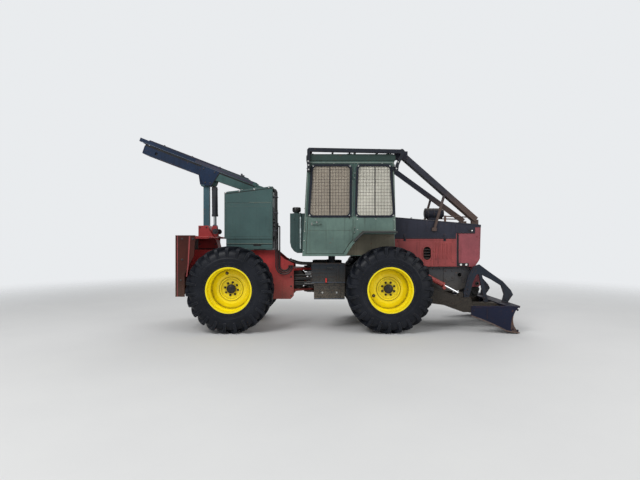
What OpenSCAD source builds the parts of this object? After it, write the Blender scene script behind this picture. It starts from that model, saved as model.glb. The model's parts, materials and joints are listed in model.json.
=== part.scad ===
// Articulated forestry skidder with winch boom and front log blade, in millimetres.
// +X points forward, +Y to the machine's left, +Z up, and the tyres stand on z = 0.
// Lengths along x are measured from the vertical hinge between the two half frames.

/* [Wheels] */
// Diameter of each tyre over its lugs
tyre_d = 1475; // [1350:5:1600]
// Width of each tyre over its sidewalls
tyre_w = 430; // [380:5:470]
// Height of the lugs over the tyre's body
lug_h = 40; // [25:1:50]
// Width of one lug
lug_w = 50; // [35:1:60]
// Number of lugs on each half of a tyre
lug_count = 23; // [16:1:24]
// Diameter of the rim where the tyre's bead sits
bead_d = 762; // [720:2:800]
// Height of the rim's flange over the bead seat
flange_h = 24; // [14:1:32]
// Width between the outer faces of the rim flanges
rim_w = 400; // [360:5:420]
// Thickness of the rolled rim
rim_t = 14; // [10:1:20]
// Radius of the flat plate at the middle of the wheel
hub_plate_r = 180; // [150:5:210]
// Radius of the hub's end cap
hub_cap_r = 76; // [60:1:90]
// How far the hub's end cap stands out of the plate
hub_cap_out = 50; // [30:1:70]
// How far the hub plate sits in from the middle of the rim
hub_in = 83; // [60:1:88]
// Diameter of the hole for the valve
valve_hole_d = 46; // [30:1:60]
// Distance from the centre line to the middle of a wheel
track_half = 900; // [880:5:940]
// Distance of the front axle ahead of the hinge
front_axle_x = 1380; // [1340:5:1420]
// Distance of the rear axle behind the hinge
rear_axle_x = 1330; // [1290:5:1370]

/* [Axles] */
// Radius of the axle tubes
axle_r = 95; // [80:1:105]
// Radius of the differential housing
diff_r = 205; // [170:5:220]
// Radius of the stub that a hub turns on
spindle_r = 45; // [35:1:55]
// Running gap between a stub and its hub
spindle_gap = 0.05; // [0.02:0.01:0.1]
// Radius of the propeller shafts
shaft_r = 38; // [28:1:45]

/* [Frames] */
// Distance from the centre line to the inner face of a front rail
rail_y = 400; // [380:5:410]
// Distance from the centre line to the inner face of a rear side plate
side_y = 330; // [310:5:345]
// Thickness of the rails and side plates
plate_t = 20; // [14:1:26]
// Height of the top of the front rails
rail_top = 1100; // [1080:5:1120]
// Height of the underside of the front rails
rail_low = 620; // [600:5:660]
// Height of both frames' lower edge over the axles
saddle_z = 870; // [860:5:890]
// Distance from the hinge to the front end of the rails
rail_front_x = 2930; // [2800:10:2960]
// Distance from the hinge to the rear end of the side plates
frame_rear_x = 2195; // [2150:5:2250]
// Height of the rear frame's deck
deck_z = 1400; // [1390:5:1440]
// Height of the lower edge of the rear side plates
side_low = 500; // [460:5:560]

/* [Centre hinge] */
// Thickness of the rear frame's two hinge ears
ear_t = 40; // [30:1:50]
// Radius of the round end of every hinge ear
ear_r = 105; // [80:1:120]
// Radius of the hinge pins
pin_r = 35; // [28:1:40]
// Running gap between a pin and its hole
pin_gap = 0.05; // [0.02:0.01:0.1]
// Gap between the faces of two ears
ear_gap = 3; // [2:0.5:6]
// Thickness of the front frame's fork plates
fork_t = 30; // [20:1:35]
// Height of the middle of the lower hinge ear
low_ear_z = 660; // [640:5:680]
// Height of the middle of the upper hinge ear
high_ear_z = 1040; // [1020:5:1050]

/* [Cab] */
// Half the width of the cab
cab_half_w = 780; // [760:5:800]
// Distance from the hinge back to the foot of the cab's rear wall
cab_rear_x = 110; // [90:5:130]
// How far the rear wall leans forward at the roof
cab_lean_rear = 100; // [60:5:130]
// Distance from the hinge forward to the foot of the cab's front wall
cab_front_x = 1530; // [1520:5:1560]
// How far the front wall leans back at the roof
cab_lean_front = 45; // [20:5:80]
// Height of the cab's underside
cab_floor_z = 1300; // [1290:5:1330]
// Height of the cab's side walls where the roof sits
cab_wall_top = 2960; // [2920:5:3000]
// Height of the top of the roof
roof_top = 3070; // [3050:5:3090]
// Thickness of the cab walls and doors
wall_t = 40; // [30:1:50]
// Height of the lower edge of the windows
window_low = 2010; // [1960:5:2060]
// Height of the upper edge of the windows
window_high = 2860; // [2820:5:2880]
// Corner radius of the windows
window_r = 60; // [30:5:90]
// Pitch of the wire mesh over the windows
mesh_pitch = 110; // [80:5:140]
// Width of one bar of the mesh
mesh_bar = 10; // [6:1:14]
// Gap all round a door
door_gap = 6; // [5:1:10]

/* [Bonnet] */
// Half the width of the bonnet
hood_half_w = 500; // [480:5:500]
// Height of the bonnet at the cab
hood_rear_z = 1990; // [1960:5:2000]
// Height of the bonnet at the nose
hood_front_z = 1855; // [1830:5:1880]
// Height of the seam between the dark top and the red sides
hood_seam_z = 1600; // [1560:5:1640]
// Distance from the hinge to the front of the nose
nose_x = 3115; // [3080:5:3130]
// Distance from the hinge to the seam between side panels and nose
nose_seam_x = 2645; // [2620:5:2680]
// Thickness of the bonnet's sheet
sheet_t = 14; // [8:1:20]

/* [Blade] */
// Half the width of the blade
blade_half_w = 1050; // [1000:5:1100]
// Height of the blade's top edge
blade_top = 470; // [450:5:490]
// Gap between the cutting edge and the ground
edge_z = 12; // [10:1:30]
// Thickness of the curved blade plate
blade_t = 28; // [20:1:36]
// Radius of the hollow in the blade's front
blade_r = 281; // [270:1:300]
// Distance from the hinge to the blade pivot
blade_pivot_x = 1750; // [1740:5:1770]
// Height of the blade pivot
blade_pivot_z = 780; // [770:5:790]
// Distance from the centre line to the inner face of a push arm
arm_y = 500; // [500:2:510]
// Width of a push arm
arm_w = 120; // [100:2:126]

/* [Boom] */
// Distance from the hinge back to the boom pivot
boom_pivot_x = 910; // [890:5:930]
// How far the boom pivot lies below the housing's top at its front edge
boom_pivot_down = 45; // [40:1:50]
// Slope of the boom in degrees
boom_slope = 20.3; // [20:0.1:20.6]
// Length of the boom beam behind its pivot
boom_l = 2350; // [2200:10:2400]
// Width of the boom beam
boom_w = 220; // [200:5:240]
// Height of the winch housing at its front edge
housing_front_z = 2545; // [2535:5:2555]
// Height of the winch housing at its rear edge
housing_rear_z = 2440; // [2420:5:2450]
// Half the width of the winch housing
housing_half_w = 500; // [480:5:510]

/* [Hidden] */
$fn = 48;
// Small value that carries a cut through a face
eps = 1;
// Gap between pieces that seat on each other
rest_gap = 0.3;
axle_z = tyre_d / 2;
// Colours
cab_green = [0.25, 0.36, 0.31];
dark_green = [0.08, 0.17, 0.15];
body_red = [0.55, 0.16, 0.15];
dark_steel = [0.13, 0.14, 0.16];
navy = [0.10, 0.14, 0.20];
rim_yellow = [0.93, 0.80, 0.05];
rubber_black = [0.06, 0.06, 0.07];
chrome = [0.75, 0.76, 0.78];
hose_black = [0.05, 0.05, 0.05];

// Tyre and wheel sections
bead_r = bead_d / 2;
flange_r = bead_r + flange_h;
carcass_r = tyre_d / 2 - lug_h;
hub_plate_y = -hub_in;
hub_inner_y = hub_plate_y - 105;
bore_end = hub_plate_y - 5;
hub_boss_r = 110;
hub_gap = 3;
axle_end = track_half + hub_inner_y - hub_gap;

// Rear limit of the boom rail and front limit of the horns, for the centre of the footprint
boom_pivot_z = housing_front_z - boom_pivot_down;
rail_tip_u = boom_l + 125;
rail_tip_v = 160;
rail_h = 70;
reach_rear = boom_pivot_x + rail_tip_u * cos(boom_slope) - (rail_tip_v - rail_h) * sin(boom_slope);
blade_front_x = 3570;
horn_reach = blade_front_x + 69;
mid_x = (horn_reach - reach_rear) / 2;

// Draws a piece in the frame whose origin is under the middle of the whole machine
module placed() translate([-mid_x, 0, 0]) children();

// Draws the children and their mirror image across the centre line
module both_sides() {
    children();
    mirror([0, 1, 0]) children();
}

// Draws the children for the left side, or mirrored for the right side
module on_side(side) {
    if (side > 0) children();
    else mirror([0, 1, 0]) children();
}

// Extrudes an outline in the x-z plane between two distances from the centre line
module side_slab(points, y_from, y_to) {
    translate([0, y_to, 0]) rotate([90, 0, 0]) linear_extrude(y_to - y_from) polygon(points);
}

// Round bar along y between two distances from the centre line
module cross_bar(x, z, r, y_from, y_to) {
    translate([x, y_to, z]) rotate([90, 0, 0]) cylinder(r = r, h = y_to - y_from);
}

// Box given by its lower and upper corners
module box(low, high) {
    translate(low) cube(high - low);
}

// Rectangular or round bar between two points
module beam(from, to, across, upright) {
    d = to - from;
    flat = norm([d[0], d[1]]);
    translate(from) rotate([0, -atan2(d[2], flat), atan2(d[1], d[0])])
        translate([0, -across / 2, -upright / 2]) cube([norm(d), across, upright]);
}
module rod_between(from, to, r) {
    d = to - from;
    flat = norm([d[0], d[1]]);
    translate(from) rotate([0, 90 - atan2(d[2], flat), atan2(d[1], d[0])]) cylinder(r = r, h = norm(d));
}

// Tyre: a revolved body with two rows of slanted lugs, cut to a crowned outline
tyre_half = tyre_w / 2;
bead_half = rim_w / 2 - rim_t - 1;
body_profile = [
    [bead_r + rest_gap, -bead_half], [flange_r + 10, -bead_half], [flange_r + 22, -tyre_half + 8],
    [flange_r + 110, -tyre_half], [carcass_r - 90, -tyre_half], [carcass_r - 32, -tyre_half + 22],
    [carcass_r, -tyre_half + 90], [carcass_r, tyre_half - 90], [carcass_r - 32, tyre_half - 22],
    [carcass_r - 90, tyre_half], [flange_r + 110, tyre_half], [flange_r + 22, tyre_half - 8],
    [flange_r + 10, bead_half], [bead_r + rest_gap, bead_half]
];
lug_profile = [
    [carcass_r - 95, -tyre_half], [tyre_d / 2 - 62, -tyre_half], [tyre_d / 2 - 12, -tyre_half + 32],
    [tyre_d / 2, -tyre_half + 110], [tyre_d / 2, tyre_half - 110], [tyre_d / 2 - 12, tyre_half - 32],
    [tyre_d / 2 - 62, tyre_half], [carcass_r - 95, tyre_half]
];
lug_step = 360 / lug_count;
lug_sweep = 150;
lug_plan = [
    [-12, -lug_w / 2], [tyre_half * 0.45, lug_sweep * 0.42 - lug_w / 2], [tyre_half + eps, lug_sweep - lug_w / 2],
    [tyre_half + eps, lug_sweep + lug_w / 2], [tyre_half * 0.45, lug_sweep * 0.42 + lug_w / 2], [-12, lug_w / 2]
];
module revolve_about_y(profile) rotate([-90, 0, 0]) rotate_extrude() polygon(profile);
module lug() {
    rotate([0, 90, 0]) translate([0, 0, carcass_r - 95])
        linear_extrude(lug_h + 100) rotate(90) polygon(lug_plan);
}
module lug_rows() {
    for (i = [0 : lug_count - 1]) {
        rotate([0, i * lug_step, 0]) lug();
        rotate([0, (i + 0.5) * lug_step, 0]) mirror([0, 1, 0]) lug();
    }
}
module tyre() {
    revolve_about_y(body_profile);
    intersection() {
        lug_rows();
        revolve_about_y(lug_profile);
    }
}
module tyre_at(x, side) {
    color(rubber_black) placed() translate([x, side * track_half, axle_z]) tyre();
}

// Wheel: rim, stepped dish, hub plate, boss with its bore, and end cap, outer face towards +y
well_r = bead_r - 40;
rim_half = rim_w / 2;
rim_profile = [
    [bead_r - rim_t, -rim_half], [flange_r, -rim_half], [flange_r, -rim_half + rim_t], [bead_r, -rim_half + rim_t],
    [bead_r, -60], [well_r + rim_t, -30], [well_r + rim_t, 30], [bead_r, 60], [bead_r, rim_half - rim_t],
    [flange_r, rim_half - rim_t], [flange_r, rim_half], [bead_r - rim_t, rim_half],
    [bead_r - rim_t, 66], [well_r, 36], [well_r, -36], [bead_r - rim_t, -66]
];
// The dish joins the rim's inner face, inboard of the well
dish_r = bead_r - rim_t + eps;
dish_back_y = hub_plate_y - 20;
cap_face_y = hub_plate_y + hub_cap_out;
dish_profile = [
    [spindle_r + spindle_gap, hub_inner_y], [hub_boss_r, hub_inner_y], [hub_boss_r, dish_back_y],
    [hub_plate_r, dish_back_y], [hub_plate_r + 30, hub_plate_y + 3], [dish_r, dish_back_y + 3],
    [dish_r, hub_plate_y + 1], [dish_r - 60, hub_plate_y + 17], [hub_plate_r + 75, hub_plate_y + 29],
    [hub_plate_r + 35, hub_plate_y + 25], [hub_plate_r + 22, hub_plate_y + 33], [hub_plate_r, hub_plate_y + 33],
    [hub_plate_r - 8, hub_plate_y], [hub_cap_r, hub_plate_y], [hub_cap_r, cap_face_y - 8],
    [hub_cap_r - 10, cap_face_y], [0, cap_face_y], [0, bore_end], [spindle_r + spindle_gap, bore_end]
];
valve_r = (hub_plate_r + well_r) / 2 + 20;
module wheel(valve_angle) {
    difference() {
        union() {
            revolve_about_y(rim_profile);
            revolve_about_y(dish_profile);
        }
        rotate([0, valve_angle, 0]) translate([valve_r, 0, 0]) rotate([-90, 0, 0])
            translate([0, 0, dish_back_y - 45]) cylinder(d = valve_hole_d, h = 160);
    }
}
module wheel_at(x, side, valve_angle) {
    color(rim_yellow) placed() translate([x, side * track_half, axle_z])
        on_side(side) wheel(valve_angle);
}

// Axle: tube with the differential housing, stubs for the hubs, a pinion nose towards +x and two saddles
saddle_w = 180;
pinion_l = 170;
module axle(plate_y) {
    half_profile = [
        [0, -axle_end], [axle_r + 20, -axle_end], [axle_r + 20, -axle_end + 40], [axle_r, -axle_end + 60],
        [axle_r, -diff_r - 40], [diff_r * 0.8, -diff_r * 0.55], [diff_r, 0], [diff_r * 0.8, diff_r * 0.55],
        [axle_r, diff_r + 40], [axle_r, axle_end - 60], [axle_r + 20, axle_end - 40], [axle_r + 20, axle_end], [0, axle_end]
    ];
    revolve_about_y(half_profile);
    both_sides() cross_bar(0, 0, spindle_r, axle_end - eps, track_half + bore_end - 8);
    rotate([0, 90, 0]) cylinder(r1 = 120, r2 = 70, h = diff_r + pinion_l);
    both_sides() box([-saddle_w / 2, plate_y - 30, 0], [saddle_w / 2, plate_y + plate_t + 30, saddle_z - axle_z - rest_gap]);
}
module front_axle() color(dark_steel) placed() translate([front_axle_x, 0, axle_z]) mirror([1, 0, 0]) axle(rail_y);
module rear_axle() color(dark_steel) placed() translate([-rear_axle_x, 0, axle_z]) axle(side_y);

// Propeller shafts meet in a joint between the two hinge pins
shaft_z = (low_ear_z + high_ear_z) / 2;
joint_gap = 8;
nose_tip = diff_r + pinion_l;
shaft_flange_r = 62;
shaft_flange_t = 40;
module driveshaft_front() color(dark_steel) placed() {
    translate([0, 0, shaft_z]) sphere(r = shaft_r + 8);
    flange_x = front_axle_x - nose_tip - rest_gap - shaft_flange_t;
    rod_between([0, 0, shaft_z], [flange_x + shaft_flange_t / 2, 0, axle_z], shaft_r);
    translate([flange_x, 0, axle_z]) rotate([0, 90, 0]) cylinder(r = shaft_flange_r, h = shaft_flange_t);
}
module driveshaft_rear() color(dark_steel) placed() {
    cup_x = -(shaft_r + 8 + joint_gap);
    flange_x = -rear_axle_x + nose_tip + rest_gap;
    rod_between([cup_x, 0, shaft_z], [flange_x + shaft_flange_t / 2, 0, axle_z], shaft_r);
    translate([flange_x, 0, axle_z]) rotate([0, 90, 0]) cylinder(r = shaft_flange_r, h = shaft_flange_t);
    translate([cup_x - 60, 0, shaft_z]) rotate([0, 90, 0]) cylinder(r = shaft_r + 14, h = 60);
}

// Hinge ears: a round end about the hinge, tied to a plate that widens to the frame
module ear_outline(side, root_x, root_w) {
    circle(r = ear_r);
    polygon([[0, ear_r], [side * root_x, root_w], [side * (root_x + 300), root_w],
             [side * (root_x + 300), -root_w], [side * root_x, -root_w], [0, -ear_r]]);
}
module ear_plate(side, z, t, root_x, root_w) {
    translate([0, 0, z]) linear_extrude(t) ear_outline(side, root_x, root_w);
}
frame_front_start = 300;
fork_low = ear_t / 2 + ear_gap;
module front_fork(z) {
    ear_plate(1, z + fork_low, fork_t, frame_front_start, rail_y);
    ear_plate(1, z - fork_low - fork_t, fork_t, frame_front_start, rail_y);
    translate([0, 0, z - fork_low - fork_t - 12]) cylinder(r = pin_r, h = 2 * (fork_low + fork_t + 12));
    for (end = [-1, 1]) {
        translate([0, 0, z + end * (fork_low + fork_t + 6) - 6]) cylinder(r = pin_r + 18, h = 12);
    }
}
rail_outline = [
    [frame_front_start, rail_low], [frame_front_start, rail_top], [rail_front_x, rail_top],
    [rail_front_x, rail_low + 140], [rail_front_x - 230, rail_low + 40], [front_axle_x + 330, rail_low],
    [front_axle_x + 180, saddle_z], [front_axle_x - 180, saddle_z], [front_axle_x - 330, rail_low]
];
tow_hole_x = 2735;
tow_hole_z = 948;
tow_hole_r = 36;
steer_base_x = 600;
steer_base_y = 200;
steer_eye_x = 100;
steer_eye_y = 150;
steer_eye_r = 42;
steer_eye_t = 50;
lug_t = 16;
lug_gap = 2;
mount_r = 55;
blade_base_x = 1890;
blade_base_z = 1050;
cyl_y = arm_y + arm_w / 2;
cyl_eye_r = 42;
cyl_eye_t = 44;
cyl_pin_r = 20;
// Two upright-pin ears above and below a steering cylinder's eye, with a pin that the eye turns on
module steer_lugs(x, y, reach_x, reach_y) {
    for (face = [-1, 1]) {
        low = shaft_z + face * (steer_eye_t / 2 + lug_gap + lug_t / 2) - lug_t / 2;
        translate([x, y, low]) cylinder(r = steer_eye_r, h = lug_t);
        box([min(x, reach_x), min(y, reach_y), low], [max(x, reach_x), max(y, reach_y), low + lug_t]);
    }
}
module front_frame() color(dark_steel) placed() {
    both_sides() difference() {
        side_slab(rail_outline, rail_y, rail_y + plate_t);
        cross_bar(tow_hole_x, tow_hole_z, tow_hole_r, rail_y - eps, rail_y + plate_t + eps);
    }
    front_fork(low_ear_z);
    front_fork(high_ear_z);
    // Cross members between the rails
    box([rail_front_x - 40, -rail_y - eps, rail_low + 160], [rail_front_x, rail_y + eps, rail_top - 40]);
    box([blade_pivot_x - 60, -rail_y - eps, rail_low + 60], [blade_pivot_x + 60, rail_y + eps, rail_low + 200]);
    // Cab mounts
    for (x = [420, 1120]) both_sides()
        translate([x, rail_y + plate_t / 2, rail_top - 20]) cylinder(r = mount_r, h = cab_floor_z - rail_top + 20);
    // Blade pivots
    both_sides() {
        cross_bar(blade_pivot_x, blade_pivot_z, pin_r + 45, rail_y, arm_y - 5);
        cross_bar(blade_pivot_x, blade_pivot_z, pin_r, rail_y, arm_y + arm_w + 12);
        cross_bar(blade_pivot_x, blade_pivot_z, pin_r + 14, arm_y + arm_w + 3, arm_y + arm_w + 14);
    }
    // Brackets that hold the blade cylinders
    both_sides() {
        box([blade_base_x - 90, rail_y + plate_t - eps, blade_base_z - 50],
            [blade_base_x - 60, cyl_y + cyl_eye_t, blade_base_z + 45]);
        for (face = [-1, 1]) cylinder_ear(blade_base_x, blade_base_z, cyl_y + face * (cyl_eye_t / 2 + lug_gap + lug_t / 2), -90);
        cross_bar(blade_base_x, blade_base_z, cyl_pin_r, cyl_y - cyl_eye_t, cyl_y + cyl_eye_t);
    }
    // Steering cylinder anchors on a cross plate
    box([steer_base_x + 70, -rail_y - eps, shaft_z - 60], [steer_base_x + 90, -shaft_r - 40, shaft_z + 60]);
    box([steer_base_x + 70, shaft_r + 40, shaft_z - 60], [steer_base_x + 90, rail_y + eps, shaft_z + 60]);
    both_sides() {
        steer_lugs(steer_base_x, steer_base_y, steer_base_x + 71, steer_base_y + 40);
        steer_lugs(steer_base_x, steer_base_y, steer_base_x + 71, steer_base_y - 40);
        translate([steer_base_x, steer_base_y, shaft_z - 45]) cylinder(r = cyl_pin_r, h = 90);
    }
}
// One ear of a clevis, round about a pin along y and tied back by its own width
module cylinder_ear(x, z, y, back) {
    cross_bar(x, z, cyl_eye_r, y - lug_t / 2, y + lug_t / 2);
    box([x + min(back, 0), y - lug_t / 2, z - cyl_eye_r + 4], [x + max(back, 0), y + lug_t / 2, z + cyl_eye_r - 4]);
}

// Rear frame: side plates over the axle, hinge ears, winch bearings and deck
side_front_x = 280;
side_outline = [
    [-side_front_x, side_low + 60], [-side_front_x, 1150], [-450, 1235], [-640, deck_z], [-frame_rear_x, deck_z],
    [-frame_rear_x, saddle_z - 60], [-rear_axle_x - 400, saddle_z - 60], [-rear_axle_x - 180, saddle_z],
    [-rear_axle_x + 180, saddle_z], [-rear_axle_x + 400, saddle_z - 60], [-rear_axle_x + 640, side_low],
    [-side_front_x - 60, side_low]
];
drum_x = 1120;
drum_z = 1165;
drum_r = 190;
drum_shaft_r = 40;
drum_half = side_y - 25;
hose_y = side_y + plate_t;
module rear_ear(z) {
    difference() {
        ear_plate(-1, z - ear_t / 2, ear_t, side_front_x, side_y + eps);
        translate([0, 0, z - ear_t]) cylinder(r = pin_r + pin_gap, h = 2 * ear_t);
    }
}
module rear_frame() color(body_red) placed() {
    both_sides() difference() {
        side_slab(side_outline, side_y, side_y + plate_t);
        cross_bar(-drum_x, drum_z, drum_shaft_r + pin_gap, side_y - eps, side_y + plate_t + eps);
    }
    both_sides() difference() {
        cross_bar(-drum_x, drum_z, drum_shaft_r + 35, side_y + plate_t - eps, side_y + plate_t + 25);
        cross_bar(-drum_x, drum_z, drum_shaft_r + pin_gap, side_y, side_y + plate_t + 30);
    }
    rear_ear(low_ear_z);
    rear_ear(high_ear_z);
    // Deck behind the winch housing and cross plates under it
    box([-frame_rear_x, -side_y - eps, deck_z - 20], [-housing_rear_x, side_y + eps, deck_z]);
    box([-frame_rear_x, -side_y - eps, saddle_z - 40], [-frame_rear_x + 20, side_y + eps, deck_z]);
    box([-housing_rear_x - 120, -side_y - eps, saddle_z + 20], [-housing_rear_x - 100, side_y + eps, deck_z]);
    // Anchors of the steering rods, open at the rods' eyes
    both_sides() {
        for (face = [-1, 1]) {
            low = shaft_z + face * (steer_eye_t / 2 + lug_gap + lug_t / 2) - lug_t / 2;
            translate([-steer_eye_x, steer_eye_y, low]) cylinder(r = steer_eye_r, h = lug_t);
            translate([0, 0, low]) linear_extrude(lug_t)
                polygon([[-steer_eye_x - 20, steer_eye_y - 36], [-steer_eye_x + 10, steer_eye_y + 40],
                         [-side_front_x - 60, side_y + eps], [-side_front_x - 140, side_y + eps],
                         [-side_front_x - 60, side_y - 60]]);
        }
    }
}

// Winch housing over the rear axle, with a ledge, a lid seam and the boom's ears
housing_front_x = 653;
housing_rear_x = 1520;
ledge_z = 1600;
lid_z = 2245;
housing_outline = [
    [-housing_rear_x, ledge_z], [-housing_rear_x, housing_rear_z], [-housing_front_x, housing_front_z],
    [-housing_front_x, ledge_z]
];
foot_outline = [
    [-housing_rear_x + 30, deck_z], [-housing_rear_x + 30, ledge_z + eps], [-housing_front_x, ledge_z + eps],
    [-housing_front_x, deck_z]
];
boom_ear_r = 70;
boom_ear_t = 20;
boom_ear_y = boom_w / 2 + 6;
boom_pin_r = 30;
boom_pin_half = boom_ear_y + boom_ear_t + 8;
// Room in the housing's top for the boom's root, its ears and its pin
room_z = lid_z + 80;
room_y = boom_pin_half + 26;
room_outline = [
    [-boom_pivot_x - 330, housing_front_z + 200], [-boom_pivot_x - 330, room_z], [-boom_pivot_x + 110, room_z],
    [-boom_pivot_x + 110, housing_front_z + 200]
];
module winch_housing() color(dark_green) placed() {
    difference() {
        union() {
            side_slab(housing_outline, -housing_half_w, housing_half_w);
            side_slab(foot_outline, -housing_half_w + 15, housing_half_w - 15);
        }
        both_sides() box([-housing_rear_x - eps, housing_half_w - 4, lid_z - 6],
                         [-housing_front_x + eps, housing_half_w + eps, lid_z + 6]);
        side_slab(room_outline, -room_y, room_y);
    }
    both_sides() difference() {
        boom_ear(boom_ear_y, boom_ear_y + boom_ear_t);
        cross_bar(-boom_pivot_x, boom_pivot_z, boom_pin_r + pin_gap, boom_ear_y - eps, boom_ear_y + boom_ear_t + eps);
    }
}
module boom_ear(y_from, y_to) {
    cross_bar(-boom_pivot_x, boom_pivot_z, boom_ear_r, y_from, y_to);
    box([-boom_pivot_x - boom_ear_r, y_from, room_z - eps], [-boom_pivot_x + boom_ear_r, y_to, boom_pivot_z]);
}

// Winch drum with two flanges, on a shaft in the side plates
module winch_drum() color(dark_steel) placed() translate([-drum_x, 0, drum_z]) revolve_about_y([
    [0, -side_y - plate_t - 20], [drum_shaft_r, -side_y - plate_t - 20], [drum_shaft_r, -drum_half], [drum_r, -drum_half],
    [drum_r, -drum_half + 18], [drum_r - 70, -drum_half + 18], [drum_r - 70, drum_half - 18], [drum_r, drum_half - 18],
    [drum_r, drum_half], [drum_shaft_r, drum_half], [drum_shaft_r, side_y + plate_t + 20], [0, side_y + plate_t + 20]
]);

// Rear shield: ribbed plate with side wings cut to clear the rear tyres
shield_half_w = 1000;
shield_low = 620;
shield_top = 1660;
wing_outline = [
    [-frame_rear_x - 20, shield_low], [-frame_rear_x - 20, shield_top], [-1910, shield_top], [-1930, 1320],
    [-2090, 1000], [-2090, shield_low]
];
wing_t = 16;
rib_w = 60;
rib_count = 9;
module rear_shield() color(body_red) placed() {
    box([-frame_rear_x - 20, -shield_half_w, shield_low], [-frame_rear_x, shield_half_w, shield_top]);
    both_sides() side_slab(wing_outline, shield_half_w - wing_t, shield_half_w);
    for (i = [0 : rib_count - 1]) {
        y = -shield_half_w + rib_w / 2 + i * (2 * shield_half_w - rib_w) / (rib_count - 1);
        box([-frame_rear_x - 50, y - rib_w / 2, shield_low], [-frame_rear_x - 20 + eps, y + rib_w / 2, shield_top]);
    }
    box([-frame_rear_x - 50, -shield_half_w, shield_top - 50], [-frame_rear_x - 20 + eps, shield_half_w, shield_top]);
}

// Post that the boom rests on, on a red pedestal with the boom cylinder's foot
post_x = frame_rear_x - 238;
post_l = 110;
post_w = 90;
pedestal_half_w = 150;
pedestal_top = 1850;
foot_x = post_x - 157;
foot_z = 1830;
boom_rest_z = 2630;
boom_eye_r = 45;
boom_eye_t = 60;
module boom_post() color(body_red) placed() {
    side_slab([[-post_x - 123, deck_z], [-post_x - 123, pedestal_top], [-post_x + 57, pedestal_top],
               [-post_x + 87, 1760], [-foot_x + 60, 1560], [-foot_x + 100, deck_z]], -pedestal_half_w, pedestal_half_w);
    box([-post_x - post_l / 2, -post_w / 2, pedestal_top - eps], [-post_x + post_l / 2, post_w / 2, boom_rest_z - 30]);
    box([-post_x - 90, -90, boom_rest_z - 31], [-post_x + 90, 90, boom_rest_z - rest_gap]);
    for (face = [-1, 1]) {
        y = face * (boom_eye_t / 2 + lug_gap + lug_t / 2);
        cross_bar(-foot_x, foot_z, boom_eye_r, y - lug_t / 2, y + lug_t / 2);
        side_slab([[-foot_x - boom_eye_r, foot_z], [-foot_x + boom_eye_r, foot_z], [-foot_x + 70, 1580],
                   [-foot_x - boom_eye_r - 60, 1620]], y - lug_t / 2, y + lug_t / 2);
    }
}

// Shelf plates over the rear tyres, from the shield forward beside the pedestal
shelf_low = 1605;
shelf_t = 35;
shelf_front_x = 1700;
module rear_shelf() color(body_red) placed() both_sides()
    box([-frame_rear_x + rest_gap, pedestal_half_w + rest_gap, shelf_low],
        [-shelf_front_x, shield_half_w - wing_t - rest_gap, shelf_low + shelf_t]);

// Boom in its own frame: u runs back along the beam, v stands up from it
root_end_u = 880;
boom_head_u = 894;
boom_head_v = -172;
boom_head_x = -boom_pivot_x - boom_head_u * cos(boom_slope) + boom_head_v * sin(boom_slope);
boom_head_z = boom_pivot_z + boom_head_u * sin(boom_slope) + boom_head_v * cos(boom_slope);
module in_boom_frame() {
    translate([-boom_pivot_x, 0, boom_pivot_z]) rotate([0, boom_slope, 0]) mirror([1, 0, 0]) children();
}
function boom_point(x, z) = [
    -(x + boom_pivot_x) * cos(boom_slope) + (z - boom_pivot_z) * sin(boom_slope),
    (x + boom_pivot_x) * sin(boom_slope) + (z - boom_pivot_z) * cos(boom_slope)
];
guard_rail_outline = [
    [118, 116 - rail_h], [rail_tip_u, rail_tip_v - rail_h], [rail_tip_u, rail_tip_v], [118, 116]
];
tip_hole_u = boom_l - 280;
tip_hole_v = -52;
module boom() color(navy) placed() {
    in_boom_frame() {
        side_slab([[0, -95], [root_end_u + eps, -110], [root_end_u + eps, 78], [0, 88]], -boom_w / 2, boom_w / 2);
        cross_bar(0, 0, 88, -boom_w / 2, boom_w / 2);
        difference() {
            side_slab([[root_end_u, -120], [boom_l - 10, -105], [boom_l, 50], [root_end_u, 85]], -boom_w / 2, boom_w / 2);
            both_sides() box([tip_hole_u, boom_w / 2 - 25, tip_hole_v], [tip_hole_u + 50, boom_w / 2 + eps, tip_hole_v + 50]);
        }
        // Rope guard rails over the beam on a web
        both_sides() side_slab(guard_rail_outline, boom_w / 2 - 30, boom_w / 2 + 10);
        side_slab([[1150, 60], [boom_l - 30, 40], [boom_l - 30, 90], [1150, 80]], -boom_w / 2 + 12, boom_w / 2 - 12);
    }
    // Gusset with a flat seat for the post, and the cylinder's head ears
    seat_front = boom_point(-post_x + 90, boom_rest_z);
    seat_rear = boom_point(-post_x - 110, boom_rest_z);
    in_boom_frame() side_slab([
        [boom_head_u + 72, -100], [seat_front[0], seat_front[1]], [seat_rear[0], seat_rear[1]],
        [seat_rear[0] + 90, -115]
    ], -boom_w / 2 + 30, boom_w / 2 - 30);
    in_boom_frame() {
        for (face = [-1, 1]) {
            y = face * (boom_eye_t / 2 + lug_gap + lug_t / 2);
            cross_bar(boom_head_u, boom_head_v, boom_eye_r, y - lug_t / 2, y + lug_t / 2);
            box([boom_head_u - boom_eye_r, y - lug_t / 2, boom_head_v], [boom_head_u + boom_eye_r, y + lug_t / 2, -100]);
        }
        cross_bar(boom_head_u, boom_head_v, cyl_pin_r, -boom_eye_t, boom_eye_t);
    }
    cross_bar(-boom_pivot_x, boom_pivot_z, boom_pin_r, -boom_pin_half, boom_pin_half);
}

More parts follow.
